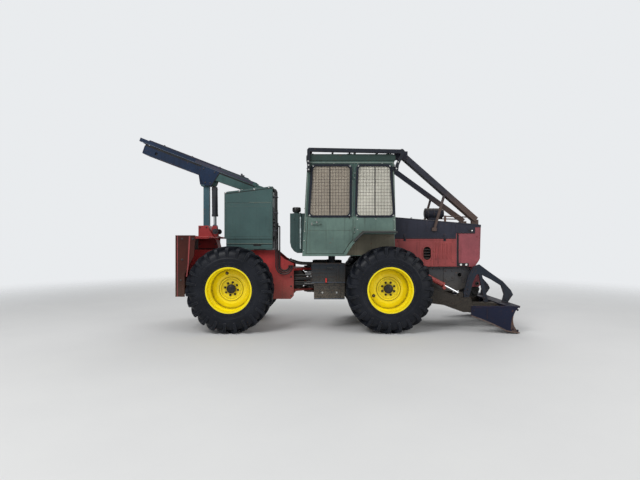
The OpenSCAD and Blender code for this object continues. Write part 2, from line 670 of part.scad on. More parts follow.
// Cylinders in their own frame: the base eye at the origin, the rod's eye at +x, pins along y
module barrel(eye_r, eye_t, tube_r, tube_start, tube_end, bore_start, rod_r) {
    difference() {
        union() {
            cross_bar(0, 0, eye_r, -eye_t / 2, eye_t / 2);
            box([0, -eye_t / 2, -eye_r * 0.7], [tube_start + 4, eye_t / 2, eye_r * 0.7]);
            translate([tube_start, 0, 0]) rotate([0, 90, 0]) cylinder(r = tube_r, h = tube_end - tube_start);
            translate([tube_end - 30, 0, 0]) rotate([0, 90, 0]) cylinder(r = tube_r + 5, h = 30);
        }
        cross_bar(0, 0, cyl_pin_r + pin_gap, -eye_t / 2 - eps, eye_t / 2 + eps);
        translate([bore_start, 0, 0]) rotate([0, 90, 0]) cylinder(r = rod_r + pin_gap, h = tube_end - bore_start + eps);
    }
}
module rod(eye_r, eye_t, rod_start, rod_end, rod_r) {
    translate([rod_start, 0, 0]) rotate([0, 90, 0]) cylinder(r = rod_r, h = rod_end - rod_start - 10);
    cross_bar(rod_end, 0, eye_r, -eye_t / 2, eye_t / 2);
}
// Places a cylinder that works in the x-z plane, or in the x-y plane
module upright_from(from, to, y) {
    translate([from[0], y, from[1]]) rotate([0, -atan2(to[1] - from[1], to[0] - from[0]), 0]) children();
}
module level_from(from, to, z) {
    translate([from[0], from[1], z]) rotate([0, 0, atan2(to[1] - from[1], to[0] - from[0])]) rotate([90, 0, 0]) children();
}

// Blade cylinders
blade_base = [blade_base_x, blade_base_z];
blade_eye = [2700, 620];
blade_len = norm(blade_eye - blade_base);
blade_rod_r = 22;
module blade_barrel(side) color(body_red) placed() upright_from(blade_base, blade_eye, side * cyl_y)
    barrel(cyl_eye_r - 4, cyl_eye_t, 44, 60, 590, 80, blade_rod_r);
module blade_rod(side) color(chrome) placed() upright_from(blade_base, blade_eye, side * cyl_y)
    rod(cyl_eye_r - 4, cyl_eye_t, 290, blade_len, blade_rod_r);

// Steering cylinders
steer_rod_r = 20;
module steer_frame(side) {
    on_side(side) level_from([steer_base_x, steer_base_y], [-steer_eye_x, steer_eye_y], shaft_z) children();
}
steer_len = norm([steer_base_x + steer_eye_x, steer_base_y - steer_eye_y]);
module steer_barrel(side) color(dark_steel) placed() steer_frame(side)
    barrel(steer_eye_r - 4, steer_eye_t, 40, 55, 430, 75, steer_rod_r);
module steer_rod(side) color(chrome) placed() steer_frame(side)
    rod(steer_eye_r - 4, steer_eye_t, 250, steer_len, steer_rod_r);

// Boom cylinder, head up on the boom and rod's eye down on the pedestal
boom_head = [boom_head_x, boom_head_z];
boom_foot = [-foot_x, foot_z];
boom_len = norm(boom_head - boom_foot);
boom_rod_r = 28;
module boom_barrel() color(dark_steel) placed() upright_from(boom_head, boom_foot, 0)
    barrel(boom_eye_r - 4, boom_eye_t, 55, 65, 620, 90, boom_rod_r);
module boom_rod() color(chrome) placed() upright_from(boom_head, boom_foot, 0)
    rod(boom_eye_r - 4, boom_eye_t, 110, boom_len, boom_rod_r);

// Cab outline in the side view
cab_height = roof_top - cab_floor_z;
function rear_x(z) = -cab_rear_x + (z - cab_floor_z) * cab_lean_rear / cab_height;
function front_x(z) = cab_front_x - (z - cab_floor_z) * cab_lean_front / cab_height;
inner_half_w = cab_half_w - wall_t;
cab_outline = [
    [rear_x(cab_floor_z), cab_floor_z], [rear_x(cab_wall_top), cab_wall_top],
    [front_x(cab_wall_top), cab_wall_top], [front_x(cab_floor_z), cab_floor_z]
];
cabin_outline = [
    [rear_x(cab_floor_z) + wall_t, cab_floor_z + wall_t], [rear_x(cab_wall_top) + wall_t, cab_wall_top + eps],
    [front_x(cab_wall_top) - wall_t, cab_wall_top + eps], [front_x(cab_floor_z) - wall_t, cab_floor_z + wall_t]
];
// Wheel arch: outline of its liner, and how far it reaches in
arch_y = 640;
liner_t = 20;
arch_top = 1700;
arch_outline = [
    [620, cab_floor_z], [745, 1500], [930, arch_top], [front_x(arch_top), arch_top], [front_x(cab_floor_z), cab_floor_z]
];
arch_cut = [
    [620, cab_floor_z - eps], [620, cab_floor_z], [745, 1500], [930, arch_top], [cab_front_x + 50, arch_top],
    [cab_front_x + 50, cab_floor_z - eps]
];
arch_space = [
    [645, cab_floor_z - eps], [766, 1492], [940, arch_top - liner_t], [cab_front_x + 50, arch_top - liner_t],
    [cab_front_x + 50, cab_floor_z - eps]
];
// Door, and windows as four corners each
door_low = 1345;
door_high = 2945;
door_front = 770;
door_rear = 65;
function door_outline(g) = [
    [rear_x(door_low) + door_rear - g, door_low - g], [rear_x(door_high) + door_rear - g, door_high + g],
    [door_front + g, door_high + g], [door_front + g, 1590 - g], [695 + g, 1505 - g], [600 + g, door_low - g]
];
door_window = [[25, window_low], [85, window_high], [718, window_high], [708, window_low]];
side_window = [[845, window_low], [872, window_high], [1412, window_high], [1470, window_low]];
windshield = [[-620, window_low + 40], [-600, window_high], [600, window_high], [620, window_low + 40]];
rear_window = [[-540, window_low + 140], [-540, window_high], [540, window_high], [540, window_low + 140]];

// Outline with its corners rounded by short chords
corner_steps = 4;
function unit(v) = v / norm(v);
function arc_corner(before, p, after, r) =
    let (a = unit(before - p), b = unit(after - p), half = acos(a * b) / 2)
    let (centre = p + unit(a + b) * r / sin(half), run = r / tan(half))
    [for (i = [0 : corner_steps])
        let (s = i / corner_steps) centre + r * unit((1 - s) * (p + a * run - centre) + s * (p + b * run - centre))];
function rounded(points, r) = let (n = len(points))
    [for (i = [0 : n - 1]) each arc_corner(points[(i + n - 1) % n], points[i], points[(i + 1) % n], r)];
// Outline moved outwards from its middle by g at each of its four corners
function grown(points, g) = let (middle = (points[0] + points[1] + points[2] + points[3]) / 4)
    [for (p = points) p + g * [sign(p[0] - middle[0]), sign(p[1] - middle[1])]];

knuckle_r = 14;
hinge_x = door_front + 9;
hinge_y = cab_half_w + knuckle_r + 2;
hinge_zs = [1760, 2700];
hinge_pin_r = 7;
knuckle_h = 50;
module door_opening() side_slab(door_outline(door_gap), inner_half_w - eps, cab_half_w + eps);
module cab_hinge(z) {
    for (end = [-1, 1]) {
        low = z + end * (knuckle_h / 2 + 2 + 15) - 15;
        translate([hinge_x, hinge_y, low]) cylinder(r = knuckle_r, h = 30);
        box([hinge_x, cab_half_w - eps, low], [hinge_x + 35, cab_half_w + 8, low + 30]);
        box([hinge_x, cab_half_w - eps, low], [hinge_x + knuckle_r, hinge_y, low + 30]);
    }
    translate([hinge_x, hinge_y, z - knuckle_h / 2 - 20]) cylinder(r = hinge_pin_r, h = knuckle_h + 40);
}
module cab() color(cab_green) placed() {
    difference() {
        side_slab(cab_outline, -cab_half_w, cab_half_w);
        side_slab(cabin_outline, -inner_half_w, inner_half_w);
        both_sides() {
            side_slab(arch_cut, arch_y - liner_t, cab_half_w + eps);
            door_opening();
            side_slab(rounded(side_window, window_r), inner_half_w - eps, cab_half_w + eps);
        }
        end_slab(cab_front_x - 300, cab_front_x + 50) polygon(rounded(windshield, window_r));
        end_slab(-cab_rear_x - 50, -cab_rear_x + 200) polygon(rounded(rear_window, window_r));
    }
    both_sides() difference() {
        side_slab(arch_outline, arch_y - liner_t, cab_half_w);
        side_slab(arch_space, arch_y, cab_half_w + eps);
    }
    both_sides() for (z = hinge_zs) cab_hinge(z);
}
// Extrudes an outline in the y-z plane between two places along x
module end_slab(x_from, x_to) {
    translate([x_from, 0, 0]) rotate([90, 0, 90]) linear_extrude(x_to - x_from) children();
}
module door(side) color(cab_green) placed() on_side(side) {
    difference() {
        side_slab(door_outline(0), inner_half_w, cab_half_w);
        side_slab(rounded(door_window, window_r), inner_half_w - eps, cab_half_w + eps);
    }
    for (z = hinge_zs) difference() {
        union() {
            translate([hinge_x, hinge_y, z - knuckle_h / 2]) cylinder(r = knuckle_r, h = knuckle_h);
            box([hinge_x - 32, cab_half_w - eps, z - knuckle_h / 2], [hinge_x - 9, cab_half_w + 8, z + knuckle_h / 2]);
            box([hinge_x - 14, cab_half_w + 1, z - knuckle_h / 2], [hinge_x, hinge_y, z + knuckle_h / 2]);
        }
        translate([hinge_x, hinge_y, z - knuckle_h]) cylinder(r = hinge_pin_r + pin_gap, h = 2 * knuckle_h);
    }
    // Handle
    box([60, cab_half_w - eps, 1850], [85, cab_half_w + 38, 1868]);
    box([200, cab_half_w - eps, 1850], [225, cab_half_w + 38, 1868]);
    box([60, cab_half_w + 24, 1850], [225, cab_half_w + 38, 1868]);
}

// Wire mesh in a frame over a window
mesh_t = 10;
frame_w = 26;
module mesh_outline(window) {
    edge = rounded(window, window_r);
    low_x = min([for (p = window) p[0]]);
    high_x = max([for (p = window) p[0]]);
    low_z = min([for (p = window) p[1]]);
    high_z = max([for (p = window) p[1]]);
    difference() {
        polygon(rounded(grown(window, frame_w), window_r));
        polygon(edge);
    }
    intersection() {
        polygon(rounded(grown(window, 4), window_r));
        union() {
            for (x = [low_x + mesh_pitch / 2 : mesh_pitch : high_x])
                translate([x - mesh_bar / 2, low_z]) square([mesh_bar, high_z - low_z]);
            for (z = [low_z + mesh_pitch / 2 : mesh_pitch : high_z])
                translate([low_x, z - mesh_bar / 2]) square([high_x - low_x, mesh_bar]);
        }
    }
}
module side_mesh(window) {
    translate([0, cab_half_w + rest_gap + mesh_t, 0]) rotate([90, 0, 0]) linear_extrude(mesh_t) mesh_outline(window);
}
module end_mesh(window, foot, lean) {
    translate([foot, 0, cab_floor_z]) rotate([0, lean, 0]) translate([0, 0, -cab_floor_z])
        end_slab(0, mesh_t) mesh_outline(window);
}
module cab_mesh() color(dark_steel) placed() {
    both_sides() side_mesh(side_window);
    end_mesh(windshield, cab_front_x + rest_gap, -atan2(cab_lean_front, cab_height));
    end_mesh(rear_window, -cab_rear_x - mesh_t - rest_gap, atan2(cab_lean_rear, cab_height));
}
module door_mesh(side) color(dark_steel) placed() on_side(side) side_mesh(door_window);

// Roof with a chamfered edge, and the rack of bars over it
roof_out = 22;
roof_front = front_x(cab_wall_top) + roof_out;
module cab_roof() color(dark_green) placed() side_slab([
    [rear_x(cab_wall_top) - roof_out, cab_wall_top + rest_gap], [rear_x(cab_wall_top) - roof_out, roof_top - 30],
    [rear_x(cab_wall_top) + 20, roof_top], [roof_front - 40, roof_top], [roof_front, roof_top - 30],
    [roof_front, cab_wall_top + rest_gap]
], -cab_half_w - roof_out, cab_half_w + roof_out);
rack_top = 3160;
rack_bar = 32;
rack_rear_x = 10;
rack_front_x = 1640;
rack_y = 740;
module roof_rack() color(dark_steel) placed() {
    low = rack_top - rack_bar;
    for (y = [-rack_y, -rack_y / 3, rack_y / 3, rack_y])
        box([rack_rear_x, y - rack_bar / 2, low], [rack_front_x, y + rack_bar / 2, rack_top]);
    for (i = [0 : 4]) {
        x = rack_rear_x + i * (rack_front_x - rack_rear_x - rack_bar) / 4;
        box([x, -rail_in_y + rest_gap, low], [x + rack_bar, rail_in_y - rest_gap, rack_top]);
    }
    for (x = [rack_rear_x + 20, 700, 1380]) both_sides()
        box([x, rack_y - rack_bar / 2, roof_top + rest_gap], [x + rack_bar, rack_y + rack_bar / 2, low + eps]);
}

// Tubes along both edges of the rack, bent down at their ends to feet on the cab's sides
rail_in_y = cab_half_w + roof_out + rest_gap;
rail_out_y = rail_in_y + 50;
rail_foot_z = 2760;
rear_leg_x = -22;
rear_leg_w = 50;
rack_rail_outline = [
    [rear_leg_x, rail_foot_z], [rear_leg_x, rack_top - 20], [8, rack_top + 12], [rack_front_x, rack_top - 20],
    [1668, 3105], [1600, 2960], [1560, 2870], [1548, rail_foot_z + 15], [1496, rail_foot_z + 15], [1505, 2875],
    [1545, 2975], [1594, 3050], [1585, 3073], [rear_leg_x + rear_leg_w, 3106], [rear_leg_x + rear_leg_w, rail_foot_z]
];
module rack_rails() color(dark_steel) placed() both_sides() {
    side_slab(rack_rail_outline, rail_in_y, rail_out_y);
    box([rear_leg_x, cab_half_w + rest_gap, rail_foot_z], [rear_leg_x + rear_leg_w, rail_in_y + eps, 2900]);
    box([1452, cab_half_w + rest_gap, rail_foot_z + 20], [1530, rail_in_y + eps, rail_foot_z + 90]);
}

// Bars that guard the bonnet, from the roof's corners down to the nose
guard_high = [1670, 690, 3040];
guard_low = [3040, 345, 1950];
guard_w = 100;
strut_x = 2440;
module hood_guard() color(dark_steel) placed() both_sides() {
    t = (strut_x - guard_high[0]) / (guard_low[0] - guard_high[0]);
    on_bar = guard_high + t * (guard_low - guard_high);
    beam(guard_high, guard_low, guard_w, guard_w);
    // Bracket on the roof's front edge
    box([roof_front + rest_gap, guard_high[1] - 55, cab_wall_top + 30], [guard_high[0] + 60, guard_high[1] - 40, rack_top - rack_bar - rest_gap]);
    box([roof_front + rest_gap, guard_high[1] + 40, cab_wall_top + 30], [guard_high[0] + 60, guard_high[1] + 55, rack_top - rack_bar - rest_gap]);
    box([roof_front + rest_gap, guard_high[1] - 55, cab_wall_top + 30], [roof_front + 20, guard_high[1] + 55, rack_top - rack_bar - rest_gap]);
    box([guard_high[0] - 40, guard_high[1] - 41, guard_high[2] - 30], [guard_high[0] + 40, guard_high[1] + 41, guard_high[2] + 40]);
    // Foot on the bonnet
    box([guard_low[0] - 70, guard_low[1] - 40, hood_z(guard_low[0] - 70) + rest_gap], [guard_low[0] + 50, guard_low[1] + 40, guard_low[2]]);
    // Rusty strut to the bonnet's side
    beam([strut_x, hood_half_w + rest_gap + 20, on_bar[2]], [strut_x - 190, hood_half_w + rest_gap + 20, 1770], 40, 40);
    box([strut_x - 230, hood_half_w + rest_gap, 1740], [strut_x - 150, hood_half_w + 40, 1800]);
}

// Bonnet: dark top over the engine, red side panels and the nose
hood_rear_x = front_x(cab_floor_z) + rest_gap;
function hood_z(x) = hood_rear_z + (x - hood_rear_x) * (hood_front_z - hood_rear_z) / (nose_x - hood_rear_x);
hood_lip_z = 1812;
// The dark top comes lower over the back of the nose
hood_step_x = nose_x - 125;
hood_step_z = 1700;
nose_chamfer = 55;
module nose_corners(half_w) both_sides() translate([0, 0, rail_low]) linear_extrude(hood_rear_z - rail_low)
    polygon([[nose_x - nose_chamfer, half_w + eps], [nose_x + eps, half_w + eps], [nose_x + eps, half_w - nose_chamfer]]);
module hood() color(dark_steel) placed() difference() {
    side_slab([
        [hood_rear_x, hood_seam_z], [hood_rear_x, hood_rear_z], [nose_x, hood_front_z], [nose_x, hood_lip_z],
        [hood_step_x, hood_lip_z], [hood_step_x, hood_step_z], [nose_seam_x, hood_step_z], [nose_seam_x, hood_seam_z]
    ], -hood_half_w, hood_half_w);
    side_slab([
        [hood_rear_x - eps, hood_seam_z - eps], [hood_rear_x - eps, hood_rear_z - sheet_t],
        [nose_seam_x - sheet_t, hood_z(nose_seam_x) - sheet_t], [nose_seam_x - sheet_t, hood_seam_z - eps]
    ], -hood_half_w + sheet_t, hood_half_w - sheet_t);
    nose_corners(hood_half_w);
}
panel_low = rail_top + rest_gap;
vent_x = 2125;
vent_z = 1340;
vent_r = 70;
module side_panels() color(body_red) placed() both_sides() difference() {
    union() {
        box([hood_rear_x, hood_half_w - sheet_t, panel_low], [nose_seam_x - rest_gap, hood_half_w, hood_seam_z - rest_gap]);
        box([hood_rear_x, rail_y, panel_low], [nose_seam_x - rest_gap, hood_half_w - eps, panel_low + sheet_t]);
    }
    for (z = [vent_z - 50, vent_z + 50]) cross_bar(vent_x, z, vent_r, hood_half_w - 2 * sheet_t, hood_half_w + eps);
    box([vent_x - vent_r, hood_half_w - 2 * sheet_t, vent_z - 50], [vent_x + vent_r, hood_half_w + eps, vent_z + 50]);
}
slot_count = 8;
slot_pitch = 58;
module nose() color(body_red) placed() difference() {
    side_slab([
        [nose_seam_x, panel_low], [nose_seam_x, hood_step_z - rest_gap], [hood_step_x + rest_gap, hood_step_z - rest_gap],
        [hood_step_x + rest_gap, hood_lip_z - rest_gap], [nose_x, hood_lip_z - rest_gap],
        [nose_x - 25, 1250], [rail_front_x + 30, 1060], [rail_front_x + 8, 1060], [rail_front_x + 8, panel_low]
    ], -hood_half_w + 10, hood_half_w - 10);
    nose_corners(hood_half_w - 10);
    for (i = [0 : slot_count - 1]) {
        z = 1310 + i * slot_pitch;
        box([nose_x - 70, -380, z], [nose_x + eps, 380, z + slot_pitch * 0.6]);
    }
}

// Engine as one plain block on its four mounts
engine_half_w = 260;
module engine() color(dark_steel) placed() {
    box([1640, -engine_half_w, 990], [2480, engine_half_w, 1750]);
    for (x = [1740, 2320]) both_sides()
        box([x, engine_half_w - eps, 1030], [x + 90, rail_y - rest_gap, 1080]);
}
cleaner_r = 100;
cleaner_x = 2200;
cleaner_l = 320;
cleaner_z = 2085;
module air_cleaner() color(dark_steel) placed() {
    translate([cleaner_x, 0, cleaner_z]) rotate([0, 90, 0]) cylinder(r = cleaner_r, h = cleaner_l);
    translate([cleaner_x - 12, 0, cleaner_z]) rotate([0, 90, 0]) cylinder(r = cleaner_r - 30, h = cleaner_l + 40);
    side_slab([
        [cleaner_x + 40, hood_z(cleaner_x + 40) + rest_gap], [cleaner_x + 60, cleaner_z], [cleaner_x + 220, cleaner_z],
        [cleaner_x + 240, hood_z(cleaner_x + 240) + rest_gap]
    ], -60, 60);
}

// Flared fenders, step boxes and the tank behind the cab
module fenders() color(dark_steel) placed() both_sides() side_slab([
    [hinge_x + 13, 1549], [931, arch_top], [front_x(arch_top) - 2, arch_top], [front_x(arch_top) - 2, arch_top + 14],
    [924, arch_top + 14], [hinge_x + 2, 1559]
], cab_half_w + rest_gap, 1000);
step_y = 530;
step_out = 800;
module step_boxes() color(dark_steel) placed() both_sides() {
    box([50, step_y, 840], [640, step_out, 1170]);
    box([95, step_y + 20, 550], [630, step_out - 10, 841]);
    for (x = [150, 450]) box([x, rail_y + plate_t + rest_gap, 900], [x + 90, step_y + eps, 970]);
}
tank_rear_x = 340;
tank_half_w = 490;
tank_low = 1345;
tank_top = 2060;
module fuel_tank() color(cab_green) placed() {
    side_slab([
        [rear_x(tank_low) - rest_gap, tank_low], [rear_x(tank_top) - rest_gap, tank_top], [-tank_rear_x, tank_top],
        [-tank_rear_x, 1540], [-tank_rear_x + 20, 1450], [-tank_rear_x + 70, 1380], [-tank_rear_x + 130, tank_low]
    ], -tank_half_w, tank_half_w);
    translate([-230, -300, tank_top - eps]) cylinder(r = 50, h = 60);
    translate([-150, -tank_half_w - 14, tank_low + 10]) cylinder(r = 12, h = tank_top - tank_low);
    for (z = [tank_low + 60, tank_top - 60]) cross_bar(-150, z, 8, -tank_half_w - 14, -tank_half_w + 5);
}

// Push arms from the blade pivots to the back of the blade
arm_root_r = 120;
arm_outline = [
    [blade_pivot_x, blade_pivot_z + arm_root_r], [2700, 560], [2870, 560], [2900, blade_top], [blade_front_x - 150, blade_top],
    [blade_front_x - 150, 300], [2740, 300], [blade_pivot_x, blade_pivot_z - arm_root_r]
];
hollow_x = blade_front_x + 155;
hollow_z = 236;
blade_back_r = blade_r + blade_t;
module hollow_bar(r, half_w) cross_bar(hollow_x, hollow_z, r, -half_w, half_w);
module push_arms() color(dark_steel) placed() both_sides() {
    difference() {
        union() {
            side_slab(arm_outline, arm_y, arm_y + arm_w);
            cross_bar(blade_pivot_x, blade_pivot_z, arm_root_r, arm_y, arm_y + arm_w);
        }
        cross_bar(blade_pivot_x, blade_pivot_z, pin_r + pin_gap, arm_y - eps, arm_y + arm_w + eps);
        cross_bar(hollow_x, hollow_z, blade_back_r + rest_gap, arm_y - eps, arm_y + arm_w + eps);
        box([blade_front_x - 270, arm_y - eps, blade_top - flange_t - rest_gap],
            [blade_front_x + 30, arm_y + arm_w + eps, blade_top + eps]);
    }
    for (face = [-1, 1]) {
        y = cyl_y + face * (cyl_eye_t / 2 + lug_gap + lug_t / 2);
        cross_bar(blade_eye[0], blade_eye[1], cyl_eye_r, y - lug_t / 2, y + lug_t / 2);
        box([blade_eye[0] - cyl_eye_r, y - lug_t / 2, 540], [blade_eye[0] + cyl_eye_r, y + lug_t / 2, blade_eye[1]]);
    }
}
// Blade: curved plate, top flange, cutting edge and two cheeks that reach back
flange_t = 25;
cheek_t = 22;
blade_outline = [
    [2740, blade_top], [blade_front_x, blade_top], [blade_front_x - 10, edge_z], [blade_front_x - 70, edge_z], [blade_front_x - 240, 45],
    [blade_front_x - 470, 160], [2940, 225], [2740, 300]
];
plate_outline = [
    [blade_front_x - 220, blade_top], [blade_front_x, blade_top], [blade_front_x - 10, edge_z],
    [blade_front_x - 70, edge_z], [blade_front_x - 220, 60]
];
under_outline = [
    [blade_front_x - 270, blade_top - flange_t], [blade_front_x + 50, blade_top - flange_t],
    [blade_front_x + 50, edge_z + 30], [blade_front_x - 270, edge_z - 60]
];
module blade() color(navy) placed() {
    both_sides() difference() {
        side_slab(blade_outline, blade_half_w - cheek_t, blade_half_w);
        hollow_bar(blade_r, blade_half_w + eps);
    }
    difference() {
        side_slab(plate_outline, -blade_half_w + eps, blade_half_w - eps);
        hollow_bar(blade_r, blade_half_w);
        difference() {
            side_slab(under_outline, -blade_half_w + cheek_t, blade_half_w - cheek_t);
            hollow_bar(blade_back_r, blade_half_w);
        }
    }
}
// Log horns standing on the push arms: bent front leg, rear leg and a brace
horn_t = 50;
horn_outline = [
    [2765, 560], [2762, 640], [2845, 950], [2935, 1105], [3040, 1144], [3235, 1000], [horn_reach - 182, 844],
    [horn_reach - 39, 687], [horn_reach, 609], [horn_reach - 94, blade_top], [horn_reach - 194, blade_top],
    [horn_reach - 157, 609], [horn_reach - 208, 766], [3262, 870], [3052, 975], [2985, 960], [2922, 819], [2857, 560]
];
brace_outline = [[3030, 980], [3085, 965], [3200, blade_top], [3130, blade_top]];
module log_horns() color(navy) placed() both_sides() translate([0, 0, rest_gap]) {
    side_slab(horn_outline, cyl_y - horn_t / 2, cyl_y + horn_t / 2);
    side_slab(brace_outline, cyl_y - horn_t / 2 + 5, cyl_y + horn_t / 2 - 5);
}

// Seat on its base, and the console with its wheel
module seat() color(dark_steel) placed() {
    floor_z = cab_floor_z + wall_t + rest_gap;
    box([430, -180, floor_z], [760, 180, floor_z + 340]);
    side_slab([[360, floor_z + 340], [360, floor_z + 450], [830, floor_z + 470], [850, floor_z + 340]], -250, 250);
    side_slab([[360, floor_z + 400], [250, floor_z + 1020], [340, floor_z + 1030], [450, floor_z + 420]], -240, 240);
}
module console() color(dark_steel) placed() {
    floor_z = cab_floor_z + wall_t + rest_gap;
    side_slab([[1230, floor_z], [1180, floor_z + 620], [1420, floor_z + 640], [1430, floor_z]], -230, 230);
    rod_between([1220, 0, floor_z + 560], [1110, 0, floor_z + 760], 25);
    translate([1110, 0, floor_z + 760]) rotate([0, -28, 0]) rotate_extrude() translate([180, 0]) circle(r = 14);
    translate([1110, 0, floor_z + 760]) rotate([0, -28, 0]) {
        cylinder(r = 40, h = 20, center = true);
        for (a = [90, 210, 330]) rotate(a) box([0, -12, -6], [180, 12, 6]);
    }
}

// Hoses in hanging loops from the winch housing to the rear side plate
hose_r = 12;
hose_x = 450;
hose_low_z = 1110;
hose_top_z = 1950;
hose_step = 26;
hose_bends = [150, 118, 86];
module hoses() color(hose_black) placed() for (i = [0 : len(hose_bends) - 1]) {
    bend = hose_bends[i];
    y = -(hose_y + hose_r + 4 + (len(hose_bends) - 1 - i) * hose_step);
    translate([-hose_x, y, hose_low_z]) rotate([-90, 0, 0]) rotate_extrude(angle = 180) translate([bend, 0]) circle(r = hose_r);
    translate([-hose_x - bend, y, hose_low_z]) cylinder(r = hose_r, h = hose_top_z - hose_low_z - i * 60);
    rod_between([-housing_front_x + rest_gap, y, hose_top_z - i * 60], [-hose_x - bend, y, hose_top_z - i * 60], hose_r + 2);
    cross_bar(-hose_x + bend, hose_low_z, hose_r + 1, y - hose_r, -hose_y - rest_gap);
}

tyre_at(front_axle_x, 1);  // tyre_front_left
tyre_at(front_axle_x, -1);  // tyre_front_right
tyre_at(-rear_axle_x, 1);  // tyre_rear_left
tyre_at(-rear_axle_x, -1);  // tyre_rear_right
wheel_at(front_axle_x, 1, 155);  // wheel_front_left
wheel_at(front_axle_x, -1, 155);  // wheel_front_right
wheel_at(-rear_axle_x, 1, 255);  // wheel_rear_left
wheel_at(-rear_axle_x, -1, 255);  // wheel_rear_right
front_axle();
rear_axle();
driveshaft_front();
driveshaft_rear();
front_frame();
rear_frame();
engine();
cab();
cab_roof();
roof_rack();
rack_rails();
cab_mesh();
door(1);  // door_left
door(-1);  // door_right
door_mesh(1);  // door_mesh_left
door_mesh(-1);  // door_mesh_right
seat();
console();
fenders();
step_boxes();
fuel_tank();
hood();
side_panels();
nose();
air_cleaner();
hood_guard();
push_arms();
blade();
log_horns();
blade_barrel(1);  // blade_barrel_left
blade_barrel(-1);  // blade_barrel_right
blade_rod(1);  // blade_rod_left
blade_rod(-1);  // blade_rod_right
steer_barrel(1);  // steer_barrel_left
steer_barrel(-1);  // steer_barrel_right
steer_rod(1);  // steer_rod_left
steer_rod(-1);  // steer_rod_right
winch_housing();
winch_drum();
rear_shield();
rear_shelf();
boom_post();
boom();
boom_barrel();
boom_rod();
hoses();
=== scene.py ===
"""Finish of an articulated forestry skidder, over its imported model.

Places are in metres. +X points forward, +Y to the machine's left and +Z up. Distances along x
are measured from the vertical hinge between the two half frames, as at() takes them.
"""

import json
import math

import bmesh
import bpy
from mathutils import Matrix, Vector


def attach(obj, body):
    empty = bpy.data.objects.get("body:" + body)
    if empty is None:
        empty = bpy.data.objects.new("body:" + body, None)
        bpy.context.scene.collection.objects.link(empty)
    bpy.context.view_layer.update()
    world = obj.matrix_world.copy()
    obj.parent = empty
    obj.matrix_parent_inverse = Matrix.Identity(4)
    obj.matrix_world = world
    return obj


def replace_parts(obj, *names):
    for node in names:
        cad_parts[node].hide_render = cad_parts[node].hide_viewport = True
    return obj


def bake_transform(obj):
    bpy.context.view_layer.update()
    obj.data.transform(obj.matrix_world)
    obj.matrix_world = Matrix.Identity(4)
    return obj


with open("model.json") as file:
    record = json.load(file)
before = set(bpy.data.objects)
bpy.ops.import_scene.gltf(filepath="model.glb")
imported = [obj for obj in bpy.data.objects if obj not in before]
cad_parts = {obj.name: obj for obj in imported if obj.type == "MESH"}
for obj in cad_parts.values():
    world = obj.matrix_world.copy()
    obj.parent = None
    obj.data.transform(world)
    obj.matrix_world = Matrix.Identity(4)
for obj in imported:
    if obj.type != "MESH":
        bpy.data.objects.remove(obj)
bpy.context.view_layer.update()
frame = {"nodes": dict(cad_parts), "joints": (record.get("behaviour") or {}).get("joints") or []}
NODES = frame["nodes"]
JOINTS = {joint["name"]: joint for joint in frame["joints"]}
HINGE_X = JOINTS["articulation"]["pos_m"][0]
SIDES = (("left", 1), ("right", -1))
ENDS = ("front", "rear")


def at(x, y, z):
    """A place whose x is counted from the frame hinge."""
    return Vector((HINGE_X + x, y, z))


# Camera: level, square to the machine's right side

CAMERA_DISTANCE = 8.815
CAMERA_HEIGHT = 1.58
CAMERA_X = 0.2
LENS = 26.0


def add_camera():
    data = bpy.data.cameras.new("camera")
    data.lens = LENS
    data.sensor_width = 36.0
    camera = bpy.data.objects.new("camera", data)
    camera.location = at(CAMERA_X, -CAMERA_DISTANCE, CAMERA_HEIGHT)
    camera.rotation_euler = (math.radians(90), 0, 0)
    bpy.context.scene.collection.objects.link(camera)
    bpy.context.scene.camera = camera


# Shader helper

